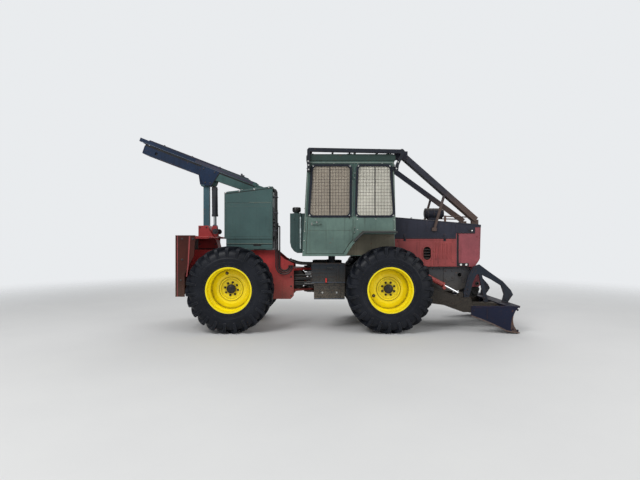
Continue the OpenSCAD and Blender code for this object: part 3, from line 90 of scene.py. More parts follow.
class Shader:
    """A principled material that is built node by node, in object coordinates in metres."""

    def __init__(self, name, roughness=0.5, metallic=0.0):
        self.material = bpy.data.materials.new(name)
        self.material.use_nodes = True
        self.tree = self.material.node_tree
        self.surface = self.tree.nodes["Principled BSDF"]
        self.surface.inputs["Roughness"].default_value = roughness
        self.surface.inputs["Metallic"].default_value = metallic
        self.place = self.add("ShaderNodeTexCoord").outputs["Object"]

    def add(self, kind, settings=None, **inputs):
        node = self.tree.nodes.new(kind)
        for key, value in (settings or {}).items():
            setattr(node, key, value)
        for key, value in inputs.items():
            self.feed(node.inputs[key.replace("_", " ")], value)
        return node

    def feed(self, socket, value):
        if isinstance(value, bpy.types.NodeSocket):
            self.tree.links.new(value, socket)
        elif socket.type == "RGBA" and len(value) == 3:
            socket.default_value = (*value, 1)
        else:
            socket.default_value = value

    def noise(self, scale, detail=4.0, rough=0.55, stretch=None, distortion=0.0, shift=0.0):
        place = self.place
        if stretch or shift:
            mapping = self.add("ShaderNodeMapping", Vector=place)
            mapping.inputs["Scale"].default_value = stretch or (1, 1, 1)
            mapping.inputs["Location"].default_value = (shift, shift * 0.7, shift * 1.3)
            place = mapping.outputs[0]
        node = self.add("ShaderNodeTexNoise", Vector=place, Scale=scale, Detail=detail,
                        Roughness=rough, Distortion=distortion)
        return node.outputs["Fac"]

    def steps(self, value, low, high, to_low=0.0, to_high=1.0):
        node = self.add("ShaderNodeMapRange", {"interpolation_type": "SMOOTHSTEP"}, Value=value)
        for key, number in (("From Min", low), ("From Max", high), ("To Min", to_low),
                            ("To Max", to_high)):
            node.inputs[key].default_value = number
        return node.outputs["Result"]

    def math(self, operation, a, b=0.0, clamp=False):
        node = self.add("ShaderNodeMath", {"operation": operation, "use_clamp": clamp})
        self.feed(node.inputs[0], a)
        self.feed(node.inputs[1], b)
        return node.outputs[0]

    def mix(self, factor, a, b, blend="MIX"):
        node = self.add("ShaderNodeMix", {"data_type": "RGBA", "blend_type": blend})
        self.feed(node.inputs["Factor"], factor)
        self.feed(node.inputs[6], a)
        self.feed(node.inputs[7], b)
        return node.outputs[2]

    def axis(self, index):
        return self.add("ShaderNodeSeparateXYZ", Vector=self.place).outputs[index]

    def upward(self, low=0.3, high=0.9):
        """Where the surface faces up."""
        normal = self.add("ShaderNodeNewGeometry").outputs["Normal"]
        return self.steps(self.add("ShaderNodeSeparateXYZ", Vector=normal).outputs[2], low, high)

    def edges(self, radius=0.012, low=0.02, high=0.25):
        """Where the surface turns sharply, as on the rim of a plate."""
        rounded = self.add("ShaderNodeBevel", {"samples": 4}, Radius=radius).outputs[0]
        normal = self.add("ShaderNodeNewGeometry").outputs["Normal"]
        dot = self.add("ShaderNodeVectorMath", {"operation": "DOT_PRODUCT"})
        self.feed(dot.inputs[0], rounded)
        self.feed(dot.inputs[1], normal)
        return self.steps(self.math("SUBTRACT", 1.0, dot.outputs["Value"]), low, high)

    def bump(self, height, strength=0.3, distance=0.004, under=None):
        node = self.add("ShaderNodeBump", Height=height, Strength=strength, Distance=distance)
        if under is not None:
            self.feed(node.inputs["Normal"], under)
        return node.outputs[0]

    def soft_corner(self, radius=0.004):
        return self.add("ShaderNodeBevel", {"samples": 4}, Radius=radius).outputs[0]

    def done(self, color=None, roughness=None, normal=None, metallic=None, alpha=None):
        sockets = {"Base Color": color, "Roughness": roughness, "Normal": normal,
                   "Metallic": metallic, "Alpha": alpha}
        for key, value in sockets.items():
            if value is not None:
                self.feed(self.surface.inputs[key], value)
        return self.material


def scaled(color, factor):
    return tuple(min(1.0, channel * factor) for channel in color)


# Colours, linear

SAGE = (0.09, 0.148, 0.128)
TEAL = (0.034, 0.07, 0.062)
HOUSING_TEAL = (0.04, 0.082, 0.08)
ROOF_GREEN = (0.014, 0.036, 0.03)
BRIGHT_RED = (0.36, 0.03, 0.03)
SIDE_RED = (0.25, 0.042, 0.042)
NOSE_RED = (0.23, 0.048, 0.06)
SHIELD_RED = (0.048, 0.012, 0.009)
SLATE = (0.008, 0.019, 0.046)
BLADE_NAVY = (0.002, 0.006, 0.026)
HORN_SLATE = (0.014, 0.02, 0.032)
DARK_STEEL = (0.022, 0.025, 0.032)
HOOD_BLACK = (0.022, 0.024, 0.036)
BOX_GREY = (0.012, 0.017, 0.023)
RIM_YELLOW = (0.96, 0.78, 0.004)
RUST_DARK = (0.06, 0.022, 0.012)
RUST_LIGHT = (0.21, 0.085, 0.035)
DUST = (0.2, 0.165, 0.12)
GREASE = (0.01, 0.009, 0.008)

# Specular level of the darkest paints, which else look too light
DULL = 0.16
# Second colours above a height on cab and post, and ahead of a slanted line on the boom
CAB_SPLIT = (1.985, TEAL, 0.012)
BOOM_SPLIT = (-1.706, 2.833, 0.6316, scaled(HOUSING_TEAL, 1.05))
POST_SPLIT = (1.852, (0.03, 0.085, 0.11), 0.004)


def paint(name, color, *, upper=None, ahead=None, worn=0.35, rust=0.25, edge_rust=0.4, streaks=0.35,
          dust=0.3, low_dirt=0.4, gloss=0.42, sheen=0.4, rusty_below=None,
          rust_tones=(RUST_DARK, RUST_LIGHT)):
    """Aged machine paint: fading, run-down dirt, dust on top faces, rust spots and worn edges.

    upper is (height, colour, softness) for a second colour above that height, and ahead is
    (x, height, slope, colour) for one ahead of a slanted line. rusty_below is (low, high): the
    paint is all rust under low and as elsewhere over high.
    """
    s = Shader(name)
    s.surface.inputs["Specular IOR Level"].default_value = sheen
    height = s.axis(2)
    base = color
    if upper:
        level, second, soft = upper
        base = s.mix(s.steps(height, level - soft, level + soft), color, second)
    if ahead:
        x, level, slope, second = ahead
        along = s.math("SUBTRACT", s.axis(0), s.math("MULTIPLY", height, slope))
        line = HINGE_X + x - slope * level
        base = s.mix(s.steps(along, line - 0.004, line + 0.004), base, second)
    patches = s.noise(1.7, 5, 0.6)
    faded = s.mix(s.steps(patches, 0.38, 0.68, 0, worn), base, (1.9, 1.8, 1.75), "MULTIPLY")
    cloud = s.noise(9, 6, 0.65, shift=3.1)
    faded = s.mix(s.steps(cloud, 0.35, 0.75, 0, worn * 0.8), faded, (0.62, 0.64, 0.66), "MULTIPLY")
    runs = s.noise(1.0, 6, 0.6, stretch=(22, 22, 1.1), shift=1.7)
    run_mask = s.steps(runs, 0.52, 0.72, 0, streaks)
    faded = s.mix(run_mask, faded, (0.42, 0.36, 0.3), "MULTIPLY")
    grit = s.noise(60, 5, 0.7)
    low = s.steps(height, 1.25, 0.35, 0, low_dirt)
    top = s.math("MULTIPLY", s.upward(), dust)
    dirt = s.math("MULTIPLY", s.math("ADD", low, top, True), s.steps(grit, 0.3, 0.62), True)
    dirty = s.mix(dirt, faded, DUST)
    spots = s.noise(14, 9, 0.72, distortion=0.3)
    spot_mask = s.steps(spots, 0.66 - 0.1 * rust, 0.7 - 0.08 * rust, 0, min(1, rust * 3))
    edge = s.math("MULTIPLY", s.edges(), s.steps(s.noise(24, 5, 0.6), 0.42, 0.6, 0, edge_rust),
                  True)
    rusted = s.math("MAXIMUM", spot_mask, edge)
    if rusty_below:
        below = s.steps(s.math("ADD", height, s.math("MULTIPLY", cloud, 0.25)), rusty_below[1],
                        rusty_below[0])
        rusted = s.math("MAXIMUM", rusted, below)
    rust_tone = s.mix(s.noise(45, 6, 0.7), *rust_tones)
    final = s.mix(rusted, dirty, rust_tone)
    rough = s.math("ADD", s.math("MULTIPLY", s.math("MAXIMUM", rusted, dirt), 0.42),
                   s.steps(cloud, 0.3, 0.8, gloss - 0.07, gloss + 0.16), True)
    wave = s.noise(1.6, 2, 0.4, shift=5.2)
    normal = s.bump(wave, 0.12, 0.05, s.soft_corner())
    normal = s.bump(s.math("ADD", grit, s.math("MULTIPLY", rusted, 2.0)), 0.16, 0.0022, normal)
    return s.done(final, rough, normal)


def metal(name, color, roughness=0.38, rust=0.35, grime=0.4):
    """Bare or oily steel with rust in its pits."""
    s = Shader(name, metallic=1.0)
    cloud = s.noise(16, 7, 0.65)
    film = s.mix(s.steps(cloud, 0.45, 0.7, 0, grime), color, scaled(color, 0.35))
    spot = s.steps(s.noise(30, 8, 0.7, shift=2.2), 0.6 - 0.12 * rust, 0.66, 0, min(1, rust * 2))
    tone = s.mix(s.noise(70, 4), RUST_DARK, RUST_LIGHT)
    normal = s.bump(s.noise(90, 4), 0.12, 0.0015, s.soft_corner(0.002))
    return s.done(s.mix(spot, film, tone), s.steps(s.math("ADD", cloud, spot), 0.3, 1.2, roughness,
                                                   0.85), normal,
                  s.math("SUBTRACT", 1.0, spot, True))


def chrome():
    s = Shader("rod_chrome", roughness=0.12, metallic=1.0)
    film = s.noise(5, 4, 0.6)
    return s.done(s.mix(s.steps(film, 0.45, 0.75, 0, 0.5), (0.72, 0.73, 0.75), (0.3, 0.27, 0.23)),
                  s.steps(film, 0.4, 0.8, 0.1, 0.38))


def tyre_rubber():
    """Black rubber tinted blue as a painted reflection of the sky, with lug edges lightened by scuffs
    and by a painted highlight, and specks of dried mud.
    """
    s = Shader("tyre_rubber")
    s.surface.inputs["Specular IOR Level"].default_value = 0.2
    patch = s.noise(4, 6, 0.6)
    fine = s.noise(45, 6, 0.7)
    # The blue in the base colour is a painted reflection of the sky.
    color = s.mix(s.steps(patch, 0.35, 0.7), (0.005, 0.0065, 0.0105), (0.0115, 0.0135, 0.0195))
    color = s.mix(s.steps(fine, 0.52, 0.74, 0, 0.38), color, (0.052, 0.049, 0.046))
    # Lug edges lightened by scuffs and by a painted highlight.
    scuff_and_highlight = s.math("MULTIPLY", s.edges(0.02, 0.03, 0.3), s.steps(fine, 0.4, 0.62, 0, 0.4), True)
    color = s.mix(scuff_and_highlight, color, (0.17, 0.165, 0.158))
    rough = s.steps(s.math("ADD", fine, scuff_and_highlight), 0.3, 1.1, 0.36, 0.72)
    normal = s.bump(fine, 0.22, 0.002, s.soft_corner(0.005))
    return s.done(color, rough, normal)


def rim_paint():
    """Bright yellow enamel, darkened in the steps of the dish by dirt and painted shade."""
    s = Shader("rim_yellow")
    cloud = s.noise(6, 6, 0.65)
    color = s.mix(s.steps(cloud, 0.4, 0.75, 0, 0.55), RIM_YELLOW, (0.84, 0.64, 0.005))
    # Ambient occlusion finds the steps of the dish; the brown laid there is dirt and painted shade.
    occluded = s.add("ShaderNodeAmbientOcclusion", {"samples": 6, "inside": False},
                    Distance=0.05).outputs["AO"]
    dirt_and_shade = s.math("MULTIPLY", s.steps(occluded, 0.82, 0.45), s.steps(s.noise(18, 6, 0.7), 0.3,
                                                                       0.6), True)
    color = s.mix(s.math("MULTIPLY", dirt_and_shade, 0.65), color, (0.075, 0.05, 0.016))
    specks = s.steps(s.noise(55, 7, 0.75, shift=4.0), 0.655, 0.7, 0, 0.75)
    color = s.mix(specks, color, (0.055, 0.04, 0.028))
    rough = s.steps(s.math("ADD", cloud, dirt_and_shade), 0.3, 1.3, 0.26, 0.62)
    return s.done(color, rough, s.bump(s.noise(35, 3), 0.08, 0.002, s.soft_corner(0.004)))


def plain_black(name, color, roughness=0.6, bump_scale=80):
    s = Shader(name, roughness=roughness)
    tone = s.noise(12, 5, 0.6)
    shade = s.mix(s.steps(tone, 0.35, 0.75, 0, 0.8), color, scaled(color, 2.2))
    shade = s.mix(s.math("MULTIPLY", s.upward(), 0.35), shade, DUST)
    return s.done(shade, s.steps(tone, 0.3, 0.8, roughness - 0.1, min(1, roughness + 0.15)),
                  s.bump(s.noise(bump_scale, 4), 0.18, 0.0015, s.soft_corner(0.002)))


def dusty_glass(name, film_color, clear, dusty):
    """Window pane: clear in the middle of its patches, with a dusty film that catches light."""
    s = Shader(name, roughness=0.06)
    film = s.noise(3.5, 6, 0.62)
    s.feed(s.surface.inputs["Base Color"], film_color)
    return s.done(alpha=s.steps(film, 0.35, 0.8, clear, dusty))


def lamp_glass(name, color):
    s = Shader(name, roughness=0.12)
    s.surface.inputs["Coat Weight"].default_value = 0.6
    ridges = s.add("ShaderNodeTexWave", Vector=s.place, Scale=60.0).outputs["Fac"]
    return s.done(s.mix(ridges, color, scaled(color, 0.7)), normal=s.bump(ridges, 0.2, 0.001))


MATERIAL = {
    "cab": paint("cab_paint_aged", SAGE, upper=CAB_SPLIT, worn=0.45, rust=0.22, streaks=0.5,
        dust=0.35, low_dirt=0.5, gloss=0.46),
    "door": paint("door_paint_aged", scaled(SAGE, 0.94), upper=CAB_SPLIT, worn=0.5, rust=0.2,
        streaks=0.45, low_dirt=0.45, gloss=0.46),
    "roof": paint("roof_paint_aged", ROOF_GREEN, worn=0.3, rust=0.3, streaks=0.25, dust=0.5,
        gloss=0.5),
    "housing": paint("housing_paint_aged", HOUSING_TEAL, worn=0.3, rust=0.12, streaks=0.3,
        dust=0.35, low_dirt=0.2, gloss=0.36),
    "tank": paint("tank_paint_aged", scaled(HOUSING_TEAL, 0.78), rust=0.2, streaks=0.4, gloss=0.4),
    "rear_red": paint("rear_frame_paint_aged", BRIGHT_RED, worn=0.3, rust=0.35, edge_rust=0.6,
        streaks=0.5, low_dirt=0.55),
    "panel_red": paint("side_panel_paint_aged", SIDE_RED, worn=0.55, rust=0.5, streaks=0.75,
        low_dirt=0.0, gloss=0.5),
    "nose_red": paint("nose_paint_aged", NOSE_RED, worn=0.4, rust=0.2, streaks=0.4, low_dirt=0.0,
        gloss=0.44),
    "shield_red": paint("shield_paint_aged", SHIELD_RED, sheen=DULL, worn=0.4, rust=0.6,
        edge_rust=0.7, streaks=0.6, gloss=0.52),
    "cylinder_red": paint("cylinder_paint_aged", scaled(BRIGHT_RED, 0.85), streaks=0.2, gloss=0.35),
    "steel": paint("dark_steel_aged", DARK_STEEL, worn=0.3, rust=0.35, edge_rust=0.5, low_dirt=0.6,
        gloss=0.5),
    "frame": paint("front_frame_aged", scaled(DARK_STEEL, 1.25), rust=0.4, edge_rust=0.55,
        low_dirt=0.6, gloss=0.5),
    "arm": paint("push_arm_aged", (0.019, 0.018, 0.018), sheen=DULL, worn=0.4, rust=0.8,
        edge_rust=0.6, streaks=0.4, dust=0.15, low_dirt=0.22, gloss=0.55,
        rust_tones=((0.03, 0.018, 0.013), (0.085, 0.048, 0.032))),
    "box": paint("step_box_aged", BOX_GREY, sheen=DULL, worn=0.4, edge_rust=0.5, low_dirt=0.75,
        gloss=0.52),
    "hood": paint("hood_paint_aged", HOOD_BLACK, sheen=DULL, worn=0.5, rust=0.3, streaks=0.4,
        dust=0.6, low_dirt=0.0, gloss=0.4),
    "guard": paint("guard_paint_aged", HOOD_BLACK, sheen=DULL, worn=0.4, rust=0.35, edge_rust=0.6,
        low_dirt=0.0, gloss=0.48, rusty_below=(2.25, 2.7),
        rust_tones=((0.05, 0.036, 0.034), (0.135, 0.095, 0.08))),
    "boom": paint("boom_paint_aged", SLATE, sheen=DULL, ahead=BOOM_SPLIT, worn=0.45, rust=0.3,
        edge_rust=0.5, streaks=0.45, dust=0.35, low_dirt=0.0),
    "slate": paint("boom_plate_aged", scaled(SLATE, 1.1), sheen=DULL, worn=0.4, rust=0.3,
        edge_rust=0.5, low_dirt=0.0),
    "boom_rail": paint("boom_rail_paint_aged", (0.04, 0.041, 0.062), sheen=DULL, worn=0.4, rust=0.3,
        low_dirt=0.0, gloss=0.45),
    # Pale blue for lines along dark edges: painted highlight.
    "rail_line": paint("edge_line_highlight", (0.085, 0.12, 0.165), worn=0.4, rust=0.2,
        low_dirt=0.0, gloss=0.4),
    # Pale sage for welts and seam lines: painted highlight.
    "bead": paint("cab_bead_highlight", (0.15, 0.2, 0.175), worn=0.3, rust=0.1, streaks=0.2,
        low_dirt=0.1, gloss=0.4),
    "arch": paint("arch_dirt", (0.13, 0.12, 0.085), worn=0.5, rust=0.3, streaks=0.5, dust=0.2,
        low_dirt=0.2, gloss=0.62),
    "shade": paint("shadow_black", (0.006, 0.007, 0.009), worn=0.2, rust=0.1, streaks=0.1,
        low_dirt=0.1, gloss=0.7),
    "post": paint("post_paint_aged", scaled(BRIGHT_RED, 0.8), upper=POST_SPLIT, rust=0.4,
        edge_rust=0.6, streaks=0.5, gloss=0.44),
    "blade": paint("blade_paint_aged", BLADE_NAVY, sheen=DULL, worn=0.3, rust=0.3, edge_rust=0.6,
        streaks=0.3, dust=0.15, low_dirt=0.06, rusty_below=(0.03, 0.075)),
    "horn": paint("horn_paint_aged", HORN_SLATE, sheen=DULL, rust=0.35, edge_rust=0.6, dust=0.2,
        low_dirt=0.08, gloss=0.44),
    "rack": paint("rack_paint_aged", (0.016, 0.019, 0.026), sheen=DULL, worn=0.3, low_dirt=0.0,
        gloss=0.45),
    "wire": paint("wire_paint_aged", (0.013, 0.016, 0.024), sheen=DULL, worn=0.3, low_dirt=0.0,
        gloss=0.45),
    "liner": paint("fender_aged", (0.03, 0.034, 0.034), worn=0.3, rust=0.4, gloss=0.55),
    "rusty": paint("rusty_bar", (0.06, 0.04, 0.035), worn=0.5, rust=1.2, edge_rust=0.9,
        low_dirt=0.0, gloss=0.7),
    "engine": metal("engine_cast_iron", (0.1, 0.1, 0.1), 0.55, 0.4, 0.8),
    "bare": metal("bare_steel", (0.42, 0.41, 0.4), 0.34, 0.35, 0.4),
    "wear_edge": metal("wear_edge_steel", (0.2, 0.16, 0.14), 0.42, 1.4, 0.6),
    "zinc": metal("zinc_bolt", (0.62, 0.62, 0.6), 0.3, 0.15, 0.3),
    "grease": plain_black("greasy_steel", GREASE, 0.42, 60),
    "chrome": chrome(),
    "tyre": tyre_rubber(),
    "rim": rim_paint(),
    "gauge": plain_black("gauge_tube", (0.36, 0.42, 0.42), 0.3, 60),
    "dish_dirt": plain_black("dish_dirt", (0.045, 0.03, 0.01), 0.7, 60),
    "hose": plain_black("hose_rubber_aged", (0.012, 0.012, 0.013), 0.5, 140),
    "seal": plain_black("window_seal", (0.01, 0.01, 0.01), 0.55, 90),
    "plastic": plain_black("console_plastic", (0.018, 0.018, 0.019), 0.58, 260),
    "vinyl": plain_black("seat_vinyl_worn", (0.016, 0.016, 0.018), 0.48, 320),
    "glass": dusty_glass("window_glass", (0.93, 0.9, 0.78), 0.5, 0.72),
    "brown_glass": dusty_glass("door_glass", (0.47, 0.41, 0.33), 0.72, 0.9),
    "red_lamp": lamp_glass("red_lamp", (0.62, 0.03, 0.02)),
    "white_lamp": lamp_glass("white_lamp", (0.86, 0.86, 0.82)),
}

NODE_FINISH = {
    "cab": "cab", "door_left": "door", "door_right": "door", "cab_roof": "roof",
    "roof_rack": "rack", "winch_housing": "housing", "fuel_tank": "tank", "rear_frame": "rear_red",
    "rear_shield": "shield_red", "boom_post": "post", "side_panels": "panel_red",
    "nose": "nose_red", "hood": "hood", "hood_guard": "guard", "front_frame": "frame",
    "front_axle": "steel", "rear_axle": "steel", "driveshaft_front": "steel",
    "driveshaft_rear": "steel", "fenders": "liner", "step_boxes": "box", "push_arms": "arm",
    "blade": "blade", "log_horns": "horn", "boom": "boom", "boom_barrel": "steel",
    "winch_drum": "bare", "engine": "engine", "air_cleaner": "hood", "console": "plastic",
    "seat": "vinyl", "hoses": "hose", "cab_mesh": "wire", "door_mesh_left": "wire",
    "door_mesh_right": "wire", "boom_rod": "chrome", "rack_rails": "rack", "rear_shelf": "rear_red",
}
for side_name, _ in SIDES:
    NODE_FINISH[f"blade_barrel_{side_name}"] = "cylinder_red"
    NODE_FINISH[f"blade_rod_{side_name}"] = "chrome"
    NODE_FINISH[f"steer_barrel_{side_name}"] = "steel"
    NODE_FINISH[f"steer_rod_{side_name}"] = "chrome"
    for end in ENDS:
        NODE_FINISH[f"tyre_{end}_{side_name}"] = "tyre"
        NODE_FINISH[f"wheel_{end}_{side_name}"] = "rim"


def dress_nodes():
    for node, finish in NODE_FINISH.items():
        for place in NODES[node].material_slots:
            place.material = MATERIAL[finish]


# Mesh helper

def crossing(axis):
    """Two unit vectors square to an axis and to each other."""
    axis = Vector(axis).normalized()
    other = Vector((0, 0, 1)) if abs(axis.z) < 0.9 else Vector((1, 0, 0))
    first = axis.cross(other).normalized()
    return first, axis.cross(first)


# The record's slot that a piece takes with its finish, where that isn't dark_steel
SLOT_OF = {
    "cab": "cab_paint", "door": "cab_paint", "bead": "cab_paint", "arch": "cab_paint",
    "gauge": "cab_paint", "roof": "dark_green_paint", "tank": "dark_green_paint",
    "housing": "dark_green_paint", "panel_red": "red_paint", "nose_red": "red_paint",
    "rear_red": "red_paint", "cylinder_red": "red_paint", "slate": "navy_paint",
    "boom_rail": "navy_paint", "blade": "navy_paint", "horn": "navy_paint",
    "wear_edge": "navy_paint", "tyre": "tyre_rubber", "dish_dirt": "rim_yellow",
    "hose": "hose_rubber", "plastic": "black_plastic", "seal": "black_plastic", "glass": None,
    "brown_glass": None, "red_lamp": None, "white_lamp": None,
}


def rect(u0, v0, u1, v1):
    return [(u0, v0), (u1, v0), (u1, v1), (u0, v1)]


def circle(count, start=0.0):
    """Cosine and sine of even steps round a circle."""
    angles = [start + i * math.tau / count for i in range(count)]
    return [(math.cos(angle), math.sin(angle)) for angle in angles]


def band(line, u0, u1, low, high):
    """Outline between two distances from a slanted line."""
    return [(u0, line(u0) + low), (u1, line(u1) + low), (u1, line(u1) + high),
            (u0, line(u0) + high)]


class Piece:
    """One mesh joined from small forms, which rides on a body and takes a finish."""

    def __init__(self, name, finish, body="front_body", slot=""):
        self.name, self.finish, self.body = name, finish, body
        self.slot = slot or SLOT_OF.get(finish, "dark_steel")
        self.form = bmesh.new()

    def skin(self, rings, closed=False):
        """Joins rings of points, all with one count, into a skin, closed on itself or capped."""
        rows = [[self.form.verts.new(point) for point in ring] for ring in rings]
        count = len(rows[0])
        for first, second in zip(rows, rows[1:] + rows[:1] if closed else rows[1:]):
            for i in range(count):
                j = (i + 1) % count
                self.form.faces.new((first[i], first[j], second[j], second[i]))
        if not closed:
            self.form.faces.new(rows[0][::-1])
            self.form.faces.new(rows[-1])

    def box(self, corner, other, turn=Matrix.Identity(3)):
        """Box between two corners, turned about its middle."""
        middle = (Vector(corner) + Vector(other)) / 2
        half = [abs(reach) / 2 for reach in Vector(other) - Vector(corner)]
        self.skin([[middle + turn @ Vector((x * half[0], y * half[1], z * half[2]))
                    for x, y in rect(-1, -1, 1, 1)] for z in (-1, 1)])

    def ring(self, middle, axis, radius, sides, spin=0.0):
        first, second = crossing(axis)
        return [middle + radius * (first * cos + second * sin) for cos, sin in circle(sides, spin)]

    def lathe(self, profile, middle, axis, sides=32, spin=0.0):
        """Turned form: profile holds (radius, distance along the axis)."""
        axis = Vector(axis).normalized()
        middle = Vector(middle)
        self.skin([self.ring(middle + axis * along, axis, max(radius, 1e-5), sides, spin)
                   for radius, along in profile])

    def rod(self, start, end, radius, sides=16, spin=0.0):
        start, end = Vector(start), Vector(end)
        self.lathe([(radius, 0), (radius, (end - start).length)], start, end - start, sides, spin)

    def tube(self, path, radius, sides=12):
        """Round tube along points, with rings square to the path."""
        path = [Vector(point) for point in path]
        rings = []
        across = None
        for i, point in enumerate(path):
            along = (path[min(i + 1, len(path) - 1)] - path[max(i - 1, 0)]).normalized()
            if across is None:
                across = crossing(along)[0]
            across = (across - along * across.dot(along)).normalized()
            other = along.cross(across)
            rings.append([point + radius * (across * cos + other * sin)
                          for cos, sin in circle(sides)])
        self.skin(rings)

    def hoop(self, middle, axis, radius, thick, sides=40, grain=8):
        """Closed ring of round section."""
        first, second = crossing(axis)
        axis = Vector(axis).normalized()
        rings = []
        for cos, sin in circle(sides):
            out = first * cos + second * sin
            rings.append([Vector(middle) + out * (radius + thick * along) + axis * thick * aside
                          for along, aside in circle(grain)])
        self.skin(rings, closed=True)

    def plate(self, outline, place, low, high):
        """Extrudes an outline; place(u, v, w) gives the point, with w from low to high."""
        self.skin([[place(u, v, low) for u, v in outline], [place(u, v, high) for u, v in outline]])

    def strips(self, place, *rows, low=-0.001):
        """Flat bars on a face; a row has the lowest and the highest (u, v), and the height."""
        for *corners, high in rows:
            self.plate(rect(*corners), place, low, high)

    def frame(self, outer, inner, place, low, high):
        """Flat ring between two outlines of as many points, between two levels."""
        self.skin([[place(u, v, low) for u, v in outer], [place(u, v, high) for u, v in outer],
                   [place(u, v, high) for u, v in inner], [place(u, v, low) for u, v in inner]],
                  closed=True)

    def bolt(self, place, axis, size=0.012, washer=True, stud=0.0):
        """Hexagon head of that across-corner radius, on a washer, with a stud's end."""
        axis = Vector(axis).normalized()
        place = Vector(place)
        foot = 0.0
        if washer:
            self.lathe([(size * 1.35, -0.001), (size * 1.35, size * 0.18)], place, axis, 16)
            foot = size * 0.18
        self.lathe([(size, foot), (size, foot + size * 0.75), (size * 0.82, foot + size * 0.9)],
                   place, axis, 6, (place.x * 7 + place.z * 5) % 1.0)
        if stud:
            self.lathe([(size * 0.55, foot), (size * 0.55, foot + size * 0.9 + stud),
                        (size * 0.42, foot + size + stud)], place, axis, 10)

    def bolts(self, start, end, count, axis, size=0.012):
        """Row of bolts between two places."""
        for i in range(count):
            self.bolt(start.lerp(end, i / (count - 1)), axis, size)

    def bolt_set(self, place, spots, lift, axis, size, **more):
        """Bolts at the spots (u, v) of a face, that far above it."""
        for u, v in spots:
            self.bolt(place(u, v, lift), axis, size, **more)

    def weld(self, start, end, radius=0.005, beads=None):
        """Row of small overlapping ripples along a seam."""
        start, end = Vector(start), Vector(end)
        length = (end - start).length
        beads = beads or max(3, int(length / 0.012))
        rings = []
        for i in range(beads * 2 + 1):
            swell = radius * (1.0 if i % 2 else 0.72)
            rings.append(self.ring(start.lerp(end, i / (beads * 2)), end - start, swell, 7))
        self.skin(rings)

    def done(self, bevel=0.0, smooth=38, segments=2):
        bmesh.ops.recalc_face_normals(self.form, faces=self.form.faces)
        mesh = bpy.data.meshes.new(self.name)
        self.form.to_mesh(mesh)
        self.form.free()
        mesh.materials.append(MATERIAL[self.finish])
        thing = bpy.data.objects.new(self.name, mesh)
        bpy.context.scene.collection.objects.link(thing)
        if bevel:
            rounding = thing.modifiers.new("rounding", "BEVEL")
            rounding.width = bevel
            rounding.segments = segments
            rounding.limit_method = "ANGLE"
            rounding.angle_limit = math.radians(40)
        mesh.shade_smooth()
        mesh.set_sharp_from_angle(angle=math.radians(smooth))
        if self.body:
            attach(thing, self.body)
        return thing


# Tyres and wheel fittings

TRACK_HALF = 0.9
AXLE_Z = 0.7375
AXLE_X = {"front": 1.38, "rear": -1.33}
# How far the hub's fittings sit in from the middle of the rim, beyond the plane they are given in
HUB_DEPTH = 0.088
# Section of the rubber that laps over the rim's flange: (distance from the mid-plane, radius)
BEAD_LIP = [(0.1998, 0.3895), (0.203, 0.39), (0.2052, 0.396), (0.2056, 0.406), (0.204, 0.42),
            (0.199, 0.419), (0.1998, 0.406)]
LUGS = 23
LUG_SWEEP = math.radians(12.3)

# Half section of the carcass from the bead to the crown: (distance from the mid-plane, radius)
CARCASS = [
    (0.184, 0.383), (0.186, 0.405), (0.1905, 0.414), (0.199, 0.42), (0.203, 0.432), (0.2015, 0.442),
    (0.2035, 0.45), (0.208, 0.465), (0.2085, 0.47), (0.207, 0.4735), (0.2095, 0.478), (0.2115, 0.5),
    (0.2112, 0.52), (0.212, 0.526), (0.212, 0.531), (0.2095, 0.536), (0.206, 0.56), (0.201, 0.595),
    (0.191, 0.625), (0.179, 0.648), (0.161, 0.668), (0.138, 0.68), (0.105, 0.687), (0.06, 0.6895),
]

# Lug stations: outer (across, radius), inner (across, radius), sweep share, half widths at face
# and root
LUG_STATIONS = [
    ((-0.016, 0.736), (-0.012, 0.684), 0.0, 0.015, 0.024), ((-0.006, 0.7374), (-0.004, 0.684), 0.02,
                                                            0.021, 0.029),
    ((0.04, 0.7374), (0.04, 0.684), 0.17, 0.022, 0.03), ((0.085, 0.7373), (0.085, 0.682), 0.36,
                                                         0.023, 0.031),
    ((0.125, 0.7356), (0.12, 0.678), 0.56, 0.024, 0.033), ((0.16, 0.7315), (0.144, 0.668), 0.76,
                                                           0.025, 0.034),
    ((0.187, 0.723), (0.16, 0.656), 0.91, 0.026, 0.035), ((0.203, 0.708), (0.171, 0.642), 0.98,
                                                          0.027, 0.036),
    ((0.212, 0.685), (0.178, 0.626), 1.0, 0.026, 0.035), ((0.2146, 0.655), (0.186, 0.612), 1.0,
                                                          0.025, 0.033),
    ((0.2147, 0.623), (0.192, 0.6), 1.0, 0.023, 0.031), ((0.2147, 0.595), (0.197, 0.586), 1.0,
                                                         0.022, 0.029),
    ((0.2145, 0.57), (0.201, 0.566), 0.99, 0.021, 0.027), ((0.2138, 0.556), (0.203, 0.553), 0.98,
                                                           0.019, 0.024),
    ((0.209, 0.546), (0.204, 0.545), 0.98, 0.016, 0.021),
]


def wheel_place(end, sign, angle, across, radius):
    """A point of a wheel: angle about the axle from +X towards +Z, across outwards from its middle."""
    return at(AXLE_X[end] + radius * math.cos(angle), sign * (TRACK_HALF + across),
              AXLE_Z + radius * math.sin(angle))


